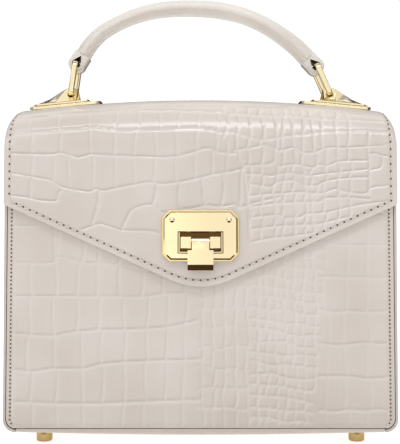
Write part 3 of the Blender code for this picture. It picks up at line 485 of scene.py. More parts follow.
def wall_mesh(name, place, u, v, wall, rim, relief, groove_tint_and_painted_light, hole=None, margin=None):
    """A closed leather wall. place(u, v, depth) gives its points, and rim the (outset, depth)
    pairs of its cut edge in millimetres. hole(u, v) says where both sides are open, and margin holds the
    painted shade on the strip beside the edge. The inside is a coarser grid."""
    index = np.arange(u.size).reshape(u.shape)
    edge = border(*u.shape)
    ei, ej = np.array(edge).T
    edge_u, edge_v = u[ei, ej], v[ei, ej]
    out_u, out_v = outward(edge_u, edge_v)
    outer = place(u, v, 0.0) + surface_normal(place, u, v) * relief[..., None]
    points = [outer.reshape(-1, 3)]
    edge_and_margin_tint = [np.zeros(u.size) if margin is None else margin.ravel()]
    loops = [index[ei, ej]]
    for k, (outset, depth) in enumerate((*rim, (0.0, wall / MM))):
        depth = depth * MM
        points.append(place(edge_u + out_u * outset * MM, edge_v + out_v * outset * MM, depth))
        edge_and_margin_tint.append(np.full(len(edge), 1.0 if 0.3 * MM < depth < wall - 0.1 * MM else 0.25))
        loops.append(u.size + k * len(edge) + np.arange(len(edge)))
    cells = grid_cells(index)
    if hole:
        cells = cells[~hole((u[:-1, :-1] + u[1:, 1:]) / 2, (v[:-1, :-1] + v[1:, 1:]) / 2)]
    faces = cells.reshape(-1, 4).tolist()
    for before, after in zip(loops, loops[1:]):
        faces += np.stack([before, after, np.roll(after, -1), np.roll(before, -1)], -1).tolist()

    # The inside shares the last loop of the rim and skips rows and columns elsewhere.
    inner_i, inner_j = (range(0, count, COARSE) for count in u.shape)
    inner = [(i, j) for i in inner_i[1:-1] for j in inner_j[1:-1]]
    numbers = dict(zip(edge, loops[-1].tolist()))
    numbers.update({key: loops[-1][-1] + 1 + k for k, key in enumerate(inner)})
    ii, jj = np.array(inner).T
    points.append(place(u[ii, jj], v[ii, jj], wall))
    edge_and_margin_tint.append(np.zeros(len(inner)))
    for i in inner_i[:-1]:
        for j in inner_j[:-1]:
            cell = np.s_[i:i + COARSE + 1, j:j + COARSE + 1]
            if hole and hole(u[cell], v[cell]).any():
                continue
            ring = [(i + a, j + b) for a, b in CELL_RIM]
            faces.append([int(numbers[key]) for key in ring if key in numbers])
    points = np.concatenate(points)
    tint_and_light = np.concatenate([groove_tint_and_painted_light.ravel(), np.zeros(len(points) - u.size)])
    return mesh_of(name, points, faces, {"groove_tint_and_painted_light": tint_and_light, "edge_paint_and_shade": np.concatenate(edge_and_margin_tint)})


def tube_faces(count, sides, closed=False, first=0):
    """Faces of a tube of rings of points, numbered from first, with its ends if it is open."""
    index = first + np.arange(count * sides).reshape(count, sides)
    before = index if closed else index[:-1]
    after = np.roll(index, -1, 0) if closed else index[1:]
    quads = np.stack([before, np.roll(before, -1, 1), np.roll(after, -1, 1), after], -1)
    ends = [] if closed else [index[0][::-1].tolist(), index[-1].tolist()]
    return quads.reshape(-1, 4).tolist() + ends


def tube_mesh(name, rings, closed=False, attributes=None):
    rings = np.asarray(rings)
    faces = tube_faces(*rings.shape[:2], closed)
    return turned_out(mesh_of(name, rings.reshape(-1, 3), faces, attributes))


def arc(centre, radius, start, end, steps):
    turns = np.linspace(start, end, steps + 1)
    return np.stack([centre[0] + radius * np.cos(turns), centre[1] + radius * np.sin(turns)], -1)


def rounded_box(half_a, half_b, radius, steps):
    """A rectangle's outline with round corners, whose centres are at the half sizes."""
    corners = ((half_a, -half_b), (half_a, half_b), (-half_a, half_b), (-half_a, -half_b))
    arcs = [
        arc(corner, radius, (k - 1) * pi / 2, k * pi / 2, steps) for k, corner in enumerate(corners)
    ]
    return np.concatenate(arcs)


# Surfaces of the bag

low_corner, high_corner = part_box("gusset_left")
SHIFT = (low_corner.y + high_corner.y) / 2


def face_depth(height):
    """Half the depth of the body at a height on its leaning faces."""
    return BOTTOM_DEPTH / 2 - (height - SEAM_HEIGHT) * tan(LEAN)


def crown_radius():
    rise = SHOULDER_RADIUS * (cos(CROWN_ANGLE) - cos(FACE_TURN))
    run = SHOULDER_RADIUS * (sin(FACE_TURN) - sin(CROWN_ANGLE))
    room = face_depth(BODY_TOP - rise) - run
    return room / (sin(CROWN_ANGLE) - tan(LEAN) * (1 - cos(CROWN_ANGLE)))


CROWN_RADIUS = crown_radius()
SHOULDER_START = (
    BODY_TOP - SHOULDER_RADIUS * (cos(CROWN_ANGLE) - sin(LEAN)) - CROWN_RADIUS * (1 - cos(CROWN_ANGLE))
)
SHOULDER_ARC = (SHOULDER_RADIUS + FLAP_SKIN) * (FACE_TURN - CROWN_ANGLE)
CROWN_ARC = (CROWN_RADIUS + FLAP_SKIN) * CROWN_ANGLE
OVER_TOP = 2 * (SHOULDER_ARC + CROWN_ARC)


def section(along, offset):
    """(y, z) at a distance along the section, which is the height on the front face,
    then runs over the top and down the back."""
    past = along - SHOULDER_START
    back = past > OVER_TOP / 2
    past = np.where(back, OVER_TOP - past, past)
    height = SHOULDER_START + np.minimum(past, 0.0)
    face = -(face_depth(height) + offset * cos(LEAN)), height + offset * sin(LEAN)
    turn = FACE_TURN - np.clip(past, 0.0, SHOULDER_ARC) / (SHOULDER_RADIUS + FLAP_SKIN)
    middle_y = -face_depth(SHOULDER_START) + SHOULDER_RADIUS * sin(FACE_TURN)
    middle_z = SHOULDER_START - SHOULDER_RADIUS * cos(FACE_TURN)
    reach = SHOULDER_RADIUS + offset
    shoulder = middle_y - reach * np.sin(turn), middle_z + reach * np.cos(turn)
    turn = CROWN_ANGLE - np.clip(past - SHOULDER_ARC, 0.0, CROWN_ARC) / (CROWN_RADIUS + FLAP_SKIN)
    reach = CROWN_RADIUS + offset
    crown = -reach * np.sin(turn), BODY_TOP - CROWN_RADIUS + reach * np.cos(turn)
    y, z = (
        np.where(past < 0, on_face, np.where(past < SHOULDER_ARC, on_shoulder, on_crown))
        for on_face, on_shoulder, on_crown in zip(face, shoulder, crown)
    )
    return np.where(back, -y, y), z


def lowered(x, z):
    """The height after the fall of the top towards its sides."""
    share = np.clip((z - PANEL_TOP) / (BODY_TOP - PANEL_TOP), 0.0, 1.0)
    into = np.clip(np.abs(x) - (FLAP_WIDTH / 2 - SIDE_ROLL), 0.0, SIDE_ROLL)
    roll = SIDE_ROLL - np.sqrt(SIDE_ROLL**2 - into**2)
    return z - share * (DOME_DROP * (2 * x / BODY_WIDTH) ** 2 + roll)


def on_flap(u, v, depth):
    y, z = section(v, FLAP_SKIN - depth)
    return np.stack([u + 0 * y, y + SHIFT, lowered(u, z)], -1)


def on_panel(front):
    """The surface of the front panel for 1, and of the back panel for -1."""

    def place(u, v, depth):
        y = -front * (face_depth(v) - depth * cos(LEAN))
        return np.stack([front * u + 0 * y, y + SHIFT, v - depth * sin(LEAN)], -1)

    return place


GUSSET_HALF = 45 * MM
GUSSET_TURN = CORNER_RADIUS * pi / 2
FOOT_LEVEL = BOTTOM_HEIGHT + BOTTOM_SAG


def on_gusset(sign):
    def place(u, v, depth):
        turn = np.clip(v / CORNER_RADIUS, 0.0, pi / 2)
        radius = CORNER_RADIUS - depth
        x = BODY_WIDTH / 2 - CORNER_RADIUS + radius * np.sin(turn)
        z = FOOT_LEVEL + CORNER_RADIUS - radius * np.cos(turn) + np.maximum(v - GUSSET_TURN, 0.0)
        y = sign * u / GUSSET_HALF * face_depth(z)
        return np.stack([sign * x + 0 * y, y + SHIFT, z], -1)

    return place


def gusset_top(u):
    """How far up the gusset reaches at a share of its depth."""
    along = np.linspace(SHOULDER_START, SHOULDER_START + OVER_TOP, 200)
    y, z = section(along, 0.0)
    z = lowered(BODY_WIDTH / 2, z)
    share = y / face_depth(z)
    height = np.interp(u / GUSSET_HALF, share, z)
    return height - FOOT_LEVEL - CORNER_RADIUS + GUSSET_TURN


def flap_edge(x):
    """Height of the flap's lower edge on the front."""
    x = np.abs(x)
    sharp_tip = FLAP_CORNER_HEIGHT - FLAP_WIDTH / 2 * tan(FLAP_SLOPE)

    def rounding(middle, radius):
        centre = sharp_tip + middle * tan(FLAP_SLOPE) + radius / cos(FLAP_SLOPE)
        return centre - np.sqrt(np.maximum(radius**2 - (x - middle) ** 2, 0.0))

    corner = FLAP_WIDTH / 2 - FLAP_CORNER_RADIUS
    corner_foot = corner + FLAP_CORNER_RADIUS * sin(FLAP_SLOPE)
    slope = sharp_tip + x * tan(FLAP_SLOPE)
    edge = np.where(x <= corner_foot, slope, rounding(corner, FLAP_CORNER_RADIUS))
    return np.where(x < FLAP_TIP_RADIUS * sin(FLAP_SLOPE), rounding(0.0, FLAP_TIP_RADIUS), edge)


# Emboss


def curve(points, slopes, steps):
    """A Hermite curve through points, with a number of steps between two of them."""
    made = []
    for a, b, slope_a, slope_b in zip(points, points[1:], slopes, slopes[1:]):
        for t in np.arange(steps) / steps:
            point = a * (2 * t**3 - 3 * t**2 + 1) + b * (3 * t**2 - 2 * t**3)
            made.append(point + slope_a * (t**3 - 2 * t**2 + t) + slope_b * (t**3 - t**2))
    return np.array([*made, points[-1]])


def even_slopes(points):
    ends_twice = np.array([points[0], *points, points[-1]])
    return (ends_twice[2:] - ends_twice[:-2]) / 2


def smooth_line(line, steps=4):
    points = np.array(line, float)
    return curve(points, even_slopes(points), steps) * MM


def trimmed(lines, inside):
    """The stretches of lines whose points, in millimetres, are inside."""
    kept = []
    for line in lines:
        run = []
        for point in line:
            if inside(*(point / MM)):
                run.append(point)
            else:
                kept.append(run)
                run = []
        kept.append(run)
    return [np.array(run) for run in kept if len(run) > 1]


def small_scales_from(height):
    """Where the small scales of the flap begin at a height, in millimetres."""
    return float(np.interp(height, (110, 128, 150, 165, 180), (26, 25, 22, 12, 12)))


def height_on(line, x):
    return np.interp(x, *np.array(line, float).T)


def row_lines(rows):
    return [smooth_line(line) for line, _ in rows]


def cross_lines(rows):
    """The short grooves between one row and the next above it."""
    lines = []
    for (above, _), (line, cross) in zip(rows, rows[1:]):
        for x in cross:
            bend, slant = rng.uniform(-0.7, 0.7, 2)
            low = height_on(line, x - slant)
            high = height_on(above, x + slant)
            middle = (x + bend, (low + high) / 2)
            lines.append(smooth_line(((x - slant, low), middle, (x + slant, high)), 3))
    return lines


def generated_rows(low, high, pitch, columns, slope=0.0, wander=1.0, stray=1.1, reach=8):
    """Rows of scales over columns, with wandering lines, from the top down, in millimetres."""
    left, right = columns[0] - reach / 2, columns[-1] + reach
    rows = []
    for height in np.arange(high, low - pitch, -pitch):
        xs = np.arange(left, right + reach, reach)
        lift = height + slope * (xs - xs.mean()) + rng.uniform(-wander, wander, xs.size)
        cross = np.array(columns) + rng.uniform(-stray, stray, len(columns))
        rows.append((tuple(zip(xs, lift)), cross))
    return rows


def line_distance(u, v, lines):
    """Distance from each point to the nearest line, up to the groove's reach."""
    reach = GROOVE_REACH
    flat_u, flat_v = u.ravel(), v.ravel()
    order = np.argsort(flat_v)
    sorted_v = flat_v[order]
    nearest = np.full(flat_u.size, reach)
    for line in lines:
        for a, b in zip(line, line[1:]):
            first = np.searchsorted(sorted_v, min(a[1], b[1]) - reach)
            last = np.searchsorted(sorted_v, max(a[1], b[1]) + reach)
            some = order[first:last]
            some = some[(flat_u[some] > min(a[0], b[0]) - reach) & (flat_u[some] < max(a[0], b[0]) + reach)]
            along = b - a
            du, dv = flat_u[some] - a[0], flat_v[some] - a[1]
            t = np.clip((du * along[0] + dv * along[1]) / max(along @ along, 1e-12), 0, 1)
            gap = np.hypot(du - t * along[0], dv - t * along[1])
            nearest[some] = np.minimum(nearest[some], gap)
    return nearest.reshape(u.shape)


def emboss(u, v, groups, keep):
    """Relief and the emboss attribute: a paler tint along the grooves, painted highlight on flanks facing
    up and left and painted shade on flanks facing away. groups holds (lines, strength) pairs, and keep
    fades both.
    """
    groove = np.zeros(u.shape)
    nearest = np.full(u.shape, GROOVE_REACH)
    for lines, strength in groups:
        gap = line_distance(u, v, lines)
        groove = np.maximum(groove, strength * np.exp(-((gap / GROOVE_WIDTH) ** 2)))
        nearest = np.minimum(nearest, gap + (1 - strength) * FAINT_OFFSET)
    pillow = 1 - np.clip(1 - nearest / PILLOW_REACH, 0, 1) ** 2
    relief = keep * (PILLOW_HEIGHT * pillow - GROOVE_DEPTH * groove)
    rise_v = np.gradient(relief, axis=1) / np.gradient(v, axis=1)
    rise_u = (np.gradient(relief, axis=0) - rise_v * np.gradient(v, axis=0)) / np.gradient(u, axis=0)
    # painted light: paler where the relief faces up and left, darker where it faces away
    painted_flank_light = np.clip(PAINTED_LIGHT_SIDE * rise_u - PAINTED_LIGHT_UP * rise_v, -1, 1)
    return relief, np.clip(keep * groove * GROOVE_TINT_AND_HIGHLIGHT + painted_flank_light, -1, 1)


def channel(distance, inset):
    """A shallow pressed line that the stitches lie in."""
    return -CHANNEL_DEPTH * np.exp(-(((distance - inset) / CHANNEL_WIDTH) ** 2))


def swell(u, v):
    """Slow unevenness of leather over a soft body."""
    broad = np.sin(u / (31 * MM) + 1.3) * np.sin(v / (23 * MM) + 0.4)
    return SWELL * (broad + 0.5 * np.sin(u / (13 * MM) + v / (17 * MM)))


def fade(distance, start, width):
    return np.clip((distance - start) / width, 0.0, 1.0)


# Stitches


def on_path(values, along, at):
    return np.array([np.interp(at, along, values[:, c]) for c in range(3)])


def stitch_rows(name, rows, pitch, radius=0.34 * MM, hole_radius=0.56 * MM):
    """Slanted stitches with needle holes between them. Each row holds the points of a path,
    and the normals of the leather there."""
    turns = 2 * pi * np.arange(STITCH_SIDES) / STITCH_SIDES
    share = np.linspace(-1, 1, STITCH_RINGS)[:, None]
    thick = radius * np.sqrt(np.maximum(1 - share**4, 0.04))
    rise = radius * (0.55 - 0.75 * share**2) + thick * 0.8 * np.sin(turns)
    strand = np.stack([share + 0 * turns, thick * np.cos(turns), rise], -1).reshape(-1, 3)
    # the needle holes are shallow discs on the leather, dark as painted shade of the holes
    wide, lift = np.array([(hole_radius, 0.02 * MM), (hole_radius * 0.7, 0.12 * MM)]).T[..., None]
    pit = np.stack([wide * np.cos(turns), wide * np.sin(turns), lift + 0 * turns], -1).reshape(-1, 3)
    strand_faces = tube_faces(STITCH_RINGS, STITCH_SIDES)
    pit_faces = tube_faces(2, STITCH_SIDES, first=len(strand))
    points, faces = [], []
    for path, normals in rows:
        gaps = np.linalg.norm(np.diff(path, axis=0), axis=1)
        along = np.concatenate([[0], np.cumsum(gaps)])
        number = int(along[-1] / pitch)
        real_pitch = along[-1] / number
        half = STITCH_SHARE * real_pitch / 2
        for middle in (np.arange(number) + 0.5) * real_pitch:
            start, end, centre = (on_path(path, along, middle + s) for s in (-half, half, 0.0))
            up = on_path(normals, along, middle)
            size = np.linalg.norm(end - start)
            forward = (end - start) / size
            across = np.cross(up, forward)
            forward = forward + across * STITCH_TILT
            across = across - forward * STITCH_TILT
            axes = np.array([forward, across, up])
            count = len(points) // 2 * (len(strand) + len(pit))
            points.append(centre + (strand * (size / 2, 1, 1)) @ axes)
            points.append(centre + forward * real_pitch / 2 + pit @ axes)
            faces += [[count + n for n in face] for face in strand_faces + pit_faces]
    mesh = mesh_of(name, np.concatenate(points), faces)
    kinds = np.tile([0] * len(strand_faces) + [1] * len(pit_faces), len(points) // 2)
    mesh.polygons.foreach_set("material_index", kinds.astype(np.int32))
    add_piece(turned_out(mesh), [sewing_thread, needle_hole_shade], smooth=radians(60))


def surface_path(place, u, v):
    u, v = u + 0 * v, v + 0 * u
    return place(u, v, 0.0), surface_normal(place, u, v)


# Leather pieces

# Cut edge of the flap, in millimetres: leather and lining with a seam between them
FLAP_RIM = (
    (0.32, 0.06), (0.50, 0.30), (0.50, 1.25), (0.30, 1.50),
    (0.30, 1.62), (0.50, 1.85), (0.50, 2.75), (0.30, 2.95),
)
SIMPLE_RIM = ((0.35, 0.08), (0.50, 0.34))  # half the cut edge of a single leather


def simple_rim(wall):
    far = wall / MM
    return (*SIMPLE_RIM, *((outset, far - depth) for outset, depth in reversed(SIMPLE_RIM)))


def spread(low, high, spacing):
    """Evenly spaced values, with a number of steps that the coarse side divides."""
    steps = max(round((high - low) / spacing / COARSE), 1) * COARSE
    return np.linspace(low, high, steps + 1)


def flap_places():
    """The grid of the flap, and where it ends on the back."""
    roll = FLAP_WIDTH / 2 - SIDE_ROLL
    last = asin((SIDE_ROLL - EDGE_ROUND) / SIDE_ROLL)
    turned = roll + SIDE_ROLL * np.sin(np.linspace(0, last, ROLL_COLUMNS)[1:])
    x = np.concatenate([-turned[::-1], spread(-roll, roll, FRONT_STEP), turned])
    back = SHOULDER_START + OVER_TOP
    end = back + SHOULDER_START - FLAP_BACK_HEIGHT - EDGE_ROUND
    beyond = (*spread(SHOULDER_START, back, TOP_STEP)[1:], *spread(back, end, FLAP_BACK_STEP)[1:])
    edge = flap_edge(x) + EDGE_ROUND / cos(FLAP_SLOPE)
    rows = [edge + (SHOULDER_START - edge) * t for t in np.linspace(0, 1, FLAP_FRONT_ROWS)]
    v = np.stack(rows + [np.full(x.size, s) for s in beyond], 1)
    return np.repeat(x[:, None], v.shape[1], 1), v, end


def flap_groups():
    top_rows = generated_rows(196, 330, 14.5, range(-92, 28, 12))
    back_rows = generated_rows(270, 330, 7, SMALL_COLUMNS, slope=0.07)
    columns = np.array(SMALL_COLUMNS)
    small_rows = [(line, columns + rng.uniform(-1.3, 1.3, columns.size)) for line in SMALL_ROWS]

    def small(lines):
        return trimmed(lines, lambda x, z: x > small_scales_from(z))

    def large(lines):
        return trimmed(lines, lambda x, z: x < small_scales_from(z) + 1.5)

    return (
        (large(row_lines(FLAP_ROWS)) + [smooth_line(line) for line in FLAP_LINES], 0.9),
        (large(cross_lines(FLAP_ROWS)), 0.5),
        (row_lines(top_rows), 0.3),
        (cross_lines(top_rows), 0.2),
        (small(row_lines(small_rows) + [smooth_line(line) for line in SMALL_LINES]), 0.9),
        (small(cross_lines(small_rows)), 0.85),
        (row_lines(back_rows) + cross_lines(back_rows), 0.6),
    )


def clasp_window(u, v):
    middle = CLASP_HEIGHT - WINDOW_DROP
    return (np.abs(u) < WINDOW_WIDTH / 2) & (np.abs(v - middle) < WINDOW_HEIGHT / 2)


def build_flap():
    u, v, end = flap_places()
    hem = end + EDGE_ROUND
    to_lower = (v - flap_edge(u)) * cos(FLAP_SLOPE)
    distance = np.minimum(np.minimum(FLAP_WIDTH / 2 - np.abs(u), to_lower), hem - v)
    relief, groove_tint_and_painted_light = emboss(u, v, flap_groups(), fade(distance, STITCH_INSET, 1.6 * MM))
    relief += channel(distance, STITCH_INSET)
    mesh = wall_mesh("flap_leather", on_flap, u, v, FLAP_WALL, FLAP_RIM, relief, groove_tint_and_painted_light, clasp_window)
    add_piece(mesh, [croc], "flap")

    side = FLAP_WIDTH / 2 - STITCH_INSET
    across = np.linspace(-side, side, 241)
    lower = flap_edge(across) + STITCH_INSET / cos(FLAP_SLOPE)
    up = np.linspace(lower[0], hem - STITCH_INSET, 160)
    rows = [surface_path(on_flap, across, lower)]
    rows += [surface_path(on_flap, sign * side, up) for sign in SIDES.values()]
    rows.append(surface_path(on_flap, across, hem - STITCH_INSET))
    stitch_rows("flap_stitches", rows, FLAP_PITCH)


PANEL_HALF = BODY_WIDTH / 2 - GUSSET_WALL - GAP
PANEL_CORNER = CORNER_RADIUS - GUSSET_WALL - GAP


def panel_half_width(v):
    into = np.clip(SEAM_HEIGHT + PANEL_CORNER - v, 0.0, PANEL_CORNER)
    return PANEL_HALF - PANEL_CORNER + np.sqrt(PANEL_CORNER**2 - into**2)


def build_panel(name, node, place, spacing, groups):
    shares = spread(-1, 1, spacing / PANEL_HALF)
    heights = spread(SEAM_HEIGHT + EDGE_ROUND, PANEL_TOP - EDGE_ROUND, spacing)
    v = np.repeat(heights[None, :], shares.size, 0)
    u = shares[:, None] * (panel_half_width(v) - EDGE_ROUND)
    to_side = panel_half_width(v) - np.abs(u)
    to_seam = v - SEAM_HEIGHT
    keep = fade(to_side, PANEL_STITCH_INSET + 0.6 * MM, 1.4 * MM) * fade(to_seam, 0.8 * MM, 1.5 * MM)
    relief, groove_tint_and_painted_light = emboss(u, v, groups, keep)
    relief += channel(to_side, PANEL_STITCH_INSET)
    relief += swell(u, v) * fade(np.minimum(to_side, to_seam), 0.5 * MM, 8 * MM)
    # painted shade on the strip between the stitches and the side edge
    margin = 0.45 * fade(to_side, PANEL_STITCH_INSET - 0.3 * MM, -0.8 * MM)
    rim = simple_rim(PANEL_WALL)
    mesh = wall_mesh(name, place, u, v, PANEL_WALL, rim, relief, groove_tint_and_painted_light, margin=margin)
    add_piece(mesh, [croc], node)

    up = np.linspace(SEAM_HEIGHT + PANEL_CORNER * 0.2, PANEL_TOP - 3 * MM, 90)
    across = panel_half_width(up) - PANEL_STITCH_INSET
    rows = [surface_path(place, sign * across, up) for sign in SIDES.values()]
    stitch_rows(name + "_stitches", rows, PANEL_PITCH, **PANEL_STITCH)


def front_groups():
    tall = generated_rows(8, 84, 10.7, PANEL_COLUMNS[:6], wander=1.2, stray=0.8, reach=6)
    tall_lines = trimmed(row_lines(tall), lambda x, z: x < 27)
    tall_cross = cross_lines(tall)
    small = generated_rows(8, 118, 5.8, PANEL_COLUMNS[4:], slope=-0.12, stray=1.0)
    small = trimmed(row_lines(small) + cross_lines(small), lambda x, z: 26 < x < 63 + 0.1 * (z - 50))
    large = generated_rows(18, 124, 17.5, PANEL_WIDE_COLUMNS, wander=0.8, stray=1.5)
    large_cross = cross_lines(large)
    return (
        (row_lines(PANEL_ROWS), 0.6),
        (cross_lines(PANEL_ROWS), 0.5),
        (tall_lines, 0.3),
        (tall_cross, 0.55),
        (small, 0.5),
        (row_lines(large), 0.55),
        (large_cross, 0.25),
    )


def back_groups():
    wide = generated_rows(8, 160, 16, range(-92, 30, 12))
    small = generated_rows(8, 160, 8, PANEL_COLUMNS[4:] + PANEL_WIDE_COLUMNS, slope=0.06)
    small = trimmed(row_lines(small) + cross_lines(small), lambda x, z: x > 27)
    wide_rows = trimmed(row_lines(wide), lambda x, z: x < 27)
    return ((wide_rows, 0.65), (cross_lines(wide), 0.45), (small, 0.55))


def build_gusset(side):
    half = GUSSET_HALF - EDGE_ROUND
    across = spread(-half, half, GUSSET_STEP)[:, None]
    up = np.linspace(0, 1, GUSSET_ROWS)
    v = EDGE_ROUND + (gusset_top(across) - 2 * EDGE_ROUND) * up
    u = across + 0 * v
    rows = generated_rows(8, 172, 14, range(-37, 44, 12))
    groups = ((row_lines(rows), 0.6), (cross_lines(rows), 0.4))
    distance = np.minimum(GUSSET_HALF - np.abs(u), gusset_top(u) - v)
    keep = fade(distance, 2 * MM, 1.5 * MM) * fade(v, 8 * MM, 4 * MM)
    relief, groove_tint_and_painted_light = emboss(u, v, groups, keep)
    name = "gusset_leather_" + side
    rim = simple_rim(GUSSET_WALL)
    mesh = wall_mesh(name, on_gusset(SIDES[side]), u, v, GUSSET_WALL, rim, relief * 0.8, groove_tint_and_painted_light)
    add_piece(mesh, [shaded_side_croc], "gusset_" + side)


BOTTOM_COLUMNS = 61


def bottom_section(x, inset):
    """(y, z) along the bottom panel from front to back, at a distance inside its skin."""
    foot = BOTTOM_HEIGHT + BOTTOM_SAG * (x / (BODY_WIDTH / 2 - CORNER_RADIUS)) ** 2 + inset
    lip = SEAM_HEIGHT - GAP
    outer = BOTTOM_DEPTH / 2 - inset
    bend = min(max(BOTTOM_EDGE_RADIUS - inset, 0.5 * MM), (lip - foot) * 0.95)
    half = np.concatenate([
        [(outer, lip)],
        arc((outer - bend, foot + bend), bend, 0, -pi / 2, 8),
        [(y, foot) for y in np.linspace(outer - bend, 0, 12)[1:]],
    ])
    return np.concatenate([half * (-1, 1), half[-2::-1]])


def build_bottom():
    half = BODY_WIDTH / 2 - CORNER_RADIUS - GAP
    points = [
        (x, y + SHIFT, z)
        for inset in (0.0, BOTTOM_WALL)
        for x in np.linspace(-half, half, BOTTOM_COLUMNS)
        for y, z in bottom_section(x, inset)
    ]
    index = np.arange(len(points) // 2).reshape(BOTTOM_COLUMNS, -1)
    cells = grid_cells(index).reshape(-1, 4)
    faces = cells.tolist() + (cells[:, ::-1] + index.size).tolist()
    before = np.array([index[place] for place in border(*index.shape)])
    after = np.roll(before, -1)
    faces += np.stack([after, before, before + index.size, after + index.size], -1).tolist()
    mesh = turned_out(mesh_of("bottom_leather", points, faces))
    add_piece(mesh, [shaded_side_croc], "bottom_panel")


# Handle, loops and rings


def ring_end(side, up):
    """Middle of the ring's upper bar, for up 1, or of its lower bar, for up -1."""
    middle = sum(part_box("ring_" + side), Vector()) / 2
    lean = -SIDES[side] * RING_LEAN[side]
    reach = up * RING_HEIGHT / 2
    return middle.x + reach * sin(lean), middle.z + reach * cos(lean)


def handle_end(side):
    x, z = ring_end(side, 1)
    turn = LOOP_ANGLE[side]
    return x - SIDES[side] * LOOP_LENGTH * cos(turn), z + LOOP_LENGTH * sin(turn)


def ring_reach():
    """From the middle of the ring's square bar to its rounded edge."""
    return RING_WIRE / 2 * sqrt(2) - RING_EDGE * (sqrt(2) - 1)


def tilted(points, x, z, angle):
    """Points turned about Y by an angle and moved to (x, z) in the bag's frame."""
    place = Matrix.Translation((x, SHIFT, z)) @ Matrix.Rotation(angle, 4, "Y")
    return np.array([place @ Vector(p) for p in points])


def build_ring(side):
    path = rounded_box(RING_DEPTH / 2 - RING_CORNER, RING_HEIGHT / 2 - RING_CORNER, RING_CORNER, 9)
    flat = RING_WIRE / 2 - RING_EDGE
    bar = rounded_box(flat, flat, RING_EDGE, 4)
    rings = []
    for before, (y, z), after in zip(np.roll(path, 1, 0), path, np.roll(path, -1, 0)):
        along = (after - before) / np.linalg.norm(after - before)
        rings += [(a, y + along[1] * b, z + RING_HEIGHT / 2 - along[0] * b) for a, b in bar]
    points = tilted(rings, *ring_end(side, -1), -SIDES[side] * RING_LEAN[side])
    name = "ring_metal_" + side
    mesh = tube_mesh(name, points.reshape(len(path), len(bar), 3), True)
    add_piece(mesh, [polished], "ring_" + side)


def mirrored(half):
    return [*half, *((-a, b) for a, b in reversed(half))]


def build_loop(side):
    """A strap folded round the ring, whose outline is drawn across and repeated in depth."""
    inside = LOOP_INSIDE_RADIUS
    outside = inside + LOOP_STRAP
    lift = inside - ring_reach() - GAP
    share = HANDLE_STATIONS[0 if side == "left" else -1][2]
    half_end = min(HANDLE_THICKNESS * share / 2, outside)
    bend = arc((0, lift), inside, -pi / 2, radians(18), 24)
    outer = mirrored([*arc((0, lift), outside, -pi / 2, radians(12), 24), (half_end, LOOP_LENGTH)])
    inner = mirrored([*bend, (LOOP_PLY_SPACE, LOOP_LENGTH - LOOP_PLY_LENGTH)])
    behind = mirrored([*bend, (LOOP_PLY_SPACE, lift + inside * 0.8)])
    bevel = 0.45 * MM
    half = LOOP_DEPTH / 2
    edge = ((-half, bevel), (-half + bevel * 0.3, bevel * 0.3), (-half + bevel, 0.0))
    layers = [(outer, y, shrink) for y, shrink in edge]
    layers += [(outer, -y, shrink) for y, shrink in reversed(edge)]
    layers += [(behind, half, 0.0), (inner, -half, 0.0)]
    middle = np.array([0, LOOP_LENGTH * 0.3])
    points = []
    for outline, y, shrink in layers:
        for place in outline:
            toward = middle - place
            a, b = place + toward / np.linalg.norm(toward) * shrink
            points.append((a, y, b))
    points = tilted(points, *ring_end(side, 1), -SIDES[side] * (pi / 2 - LOOP_ANGLE[side]))
    name = "loop_leather_" + side
    rings = points.reshape(len(layers), len(outer), 3)
    mesh = tube_mesh(name, rings, True)
    kinds = np.zeros(len(mesh.polygons), np.int32)
    first = (len(layers) - 2) * len(outer)
    kinds[first:first + len(outer)] = 1  # the faces inside the fold
    mesh.polygons.foreach_set("material_index", kinds)
    node = "handle_loop_" + side
    add_piece(mesh, [handle_croc, fold_black], node, smooth=radians(50))


def handle_line(steps):
    """Middle line of the handle with its thickness, as rows of (x, z, thickness)."""
    left, right = np.array(handle_end("left")), np.array(handle_end("right"))
    rows = []
    for across, height, thickness in HANDLE_STATIONS:
        x, z = left + (right - left) * (across + 1) / 2
        rows.append((x, z + height * HANDLE_RISE, thickness * HANDLE_THICKNESS))
    rows = np.array(rows)
    slopes = even_slopes(rows)
    for side, end, near in (("left", 0, 1), ("right", -1, -2)):
        turn = -SIDES[side] * LOOP_ANGLE[side]
        slopes[end] = np.array((cos(turn), sin(turn), 0)) * np.linalg.norm(rows[near] - rows[end])
    return curve(rows, slopes, steps)


SEAM_TURN = radians(-24)  # where the handle's side seams lie, from its widest place
HANDLE_COLUMNS = (-15, -10, -5, 0, 5, 10, 15)
HANDLE_SIDES = 60


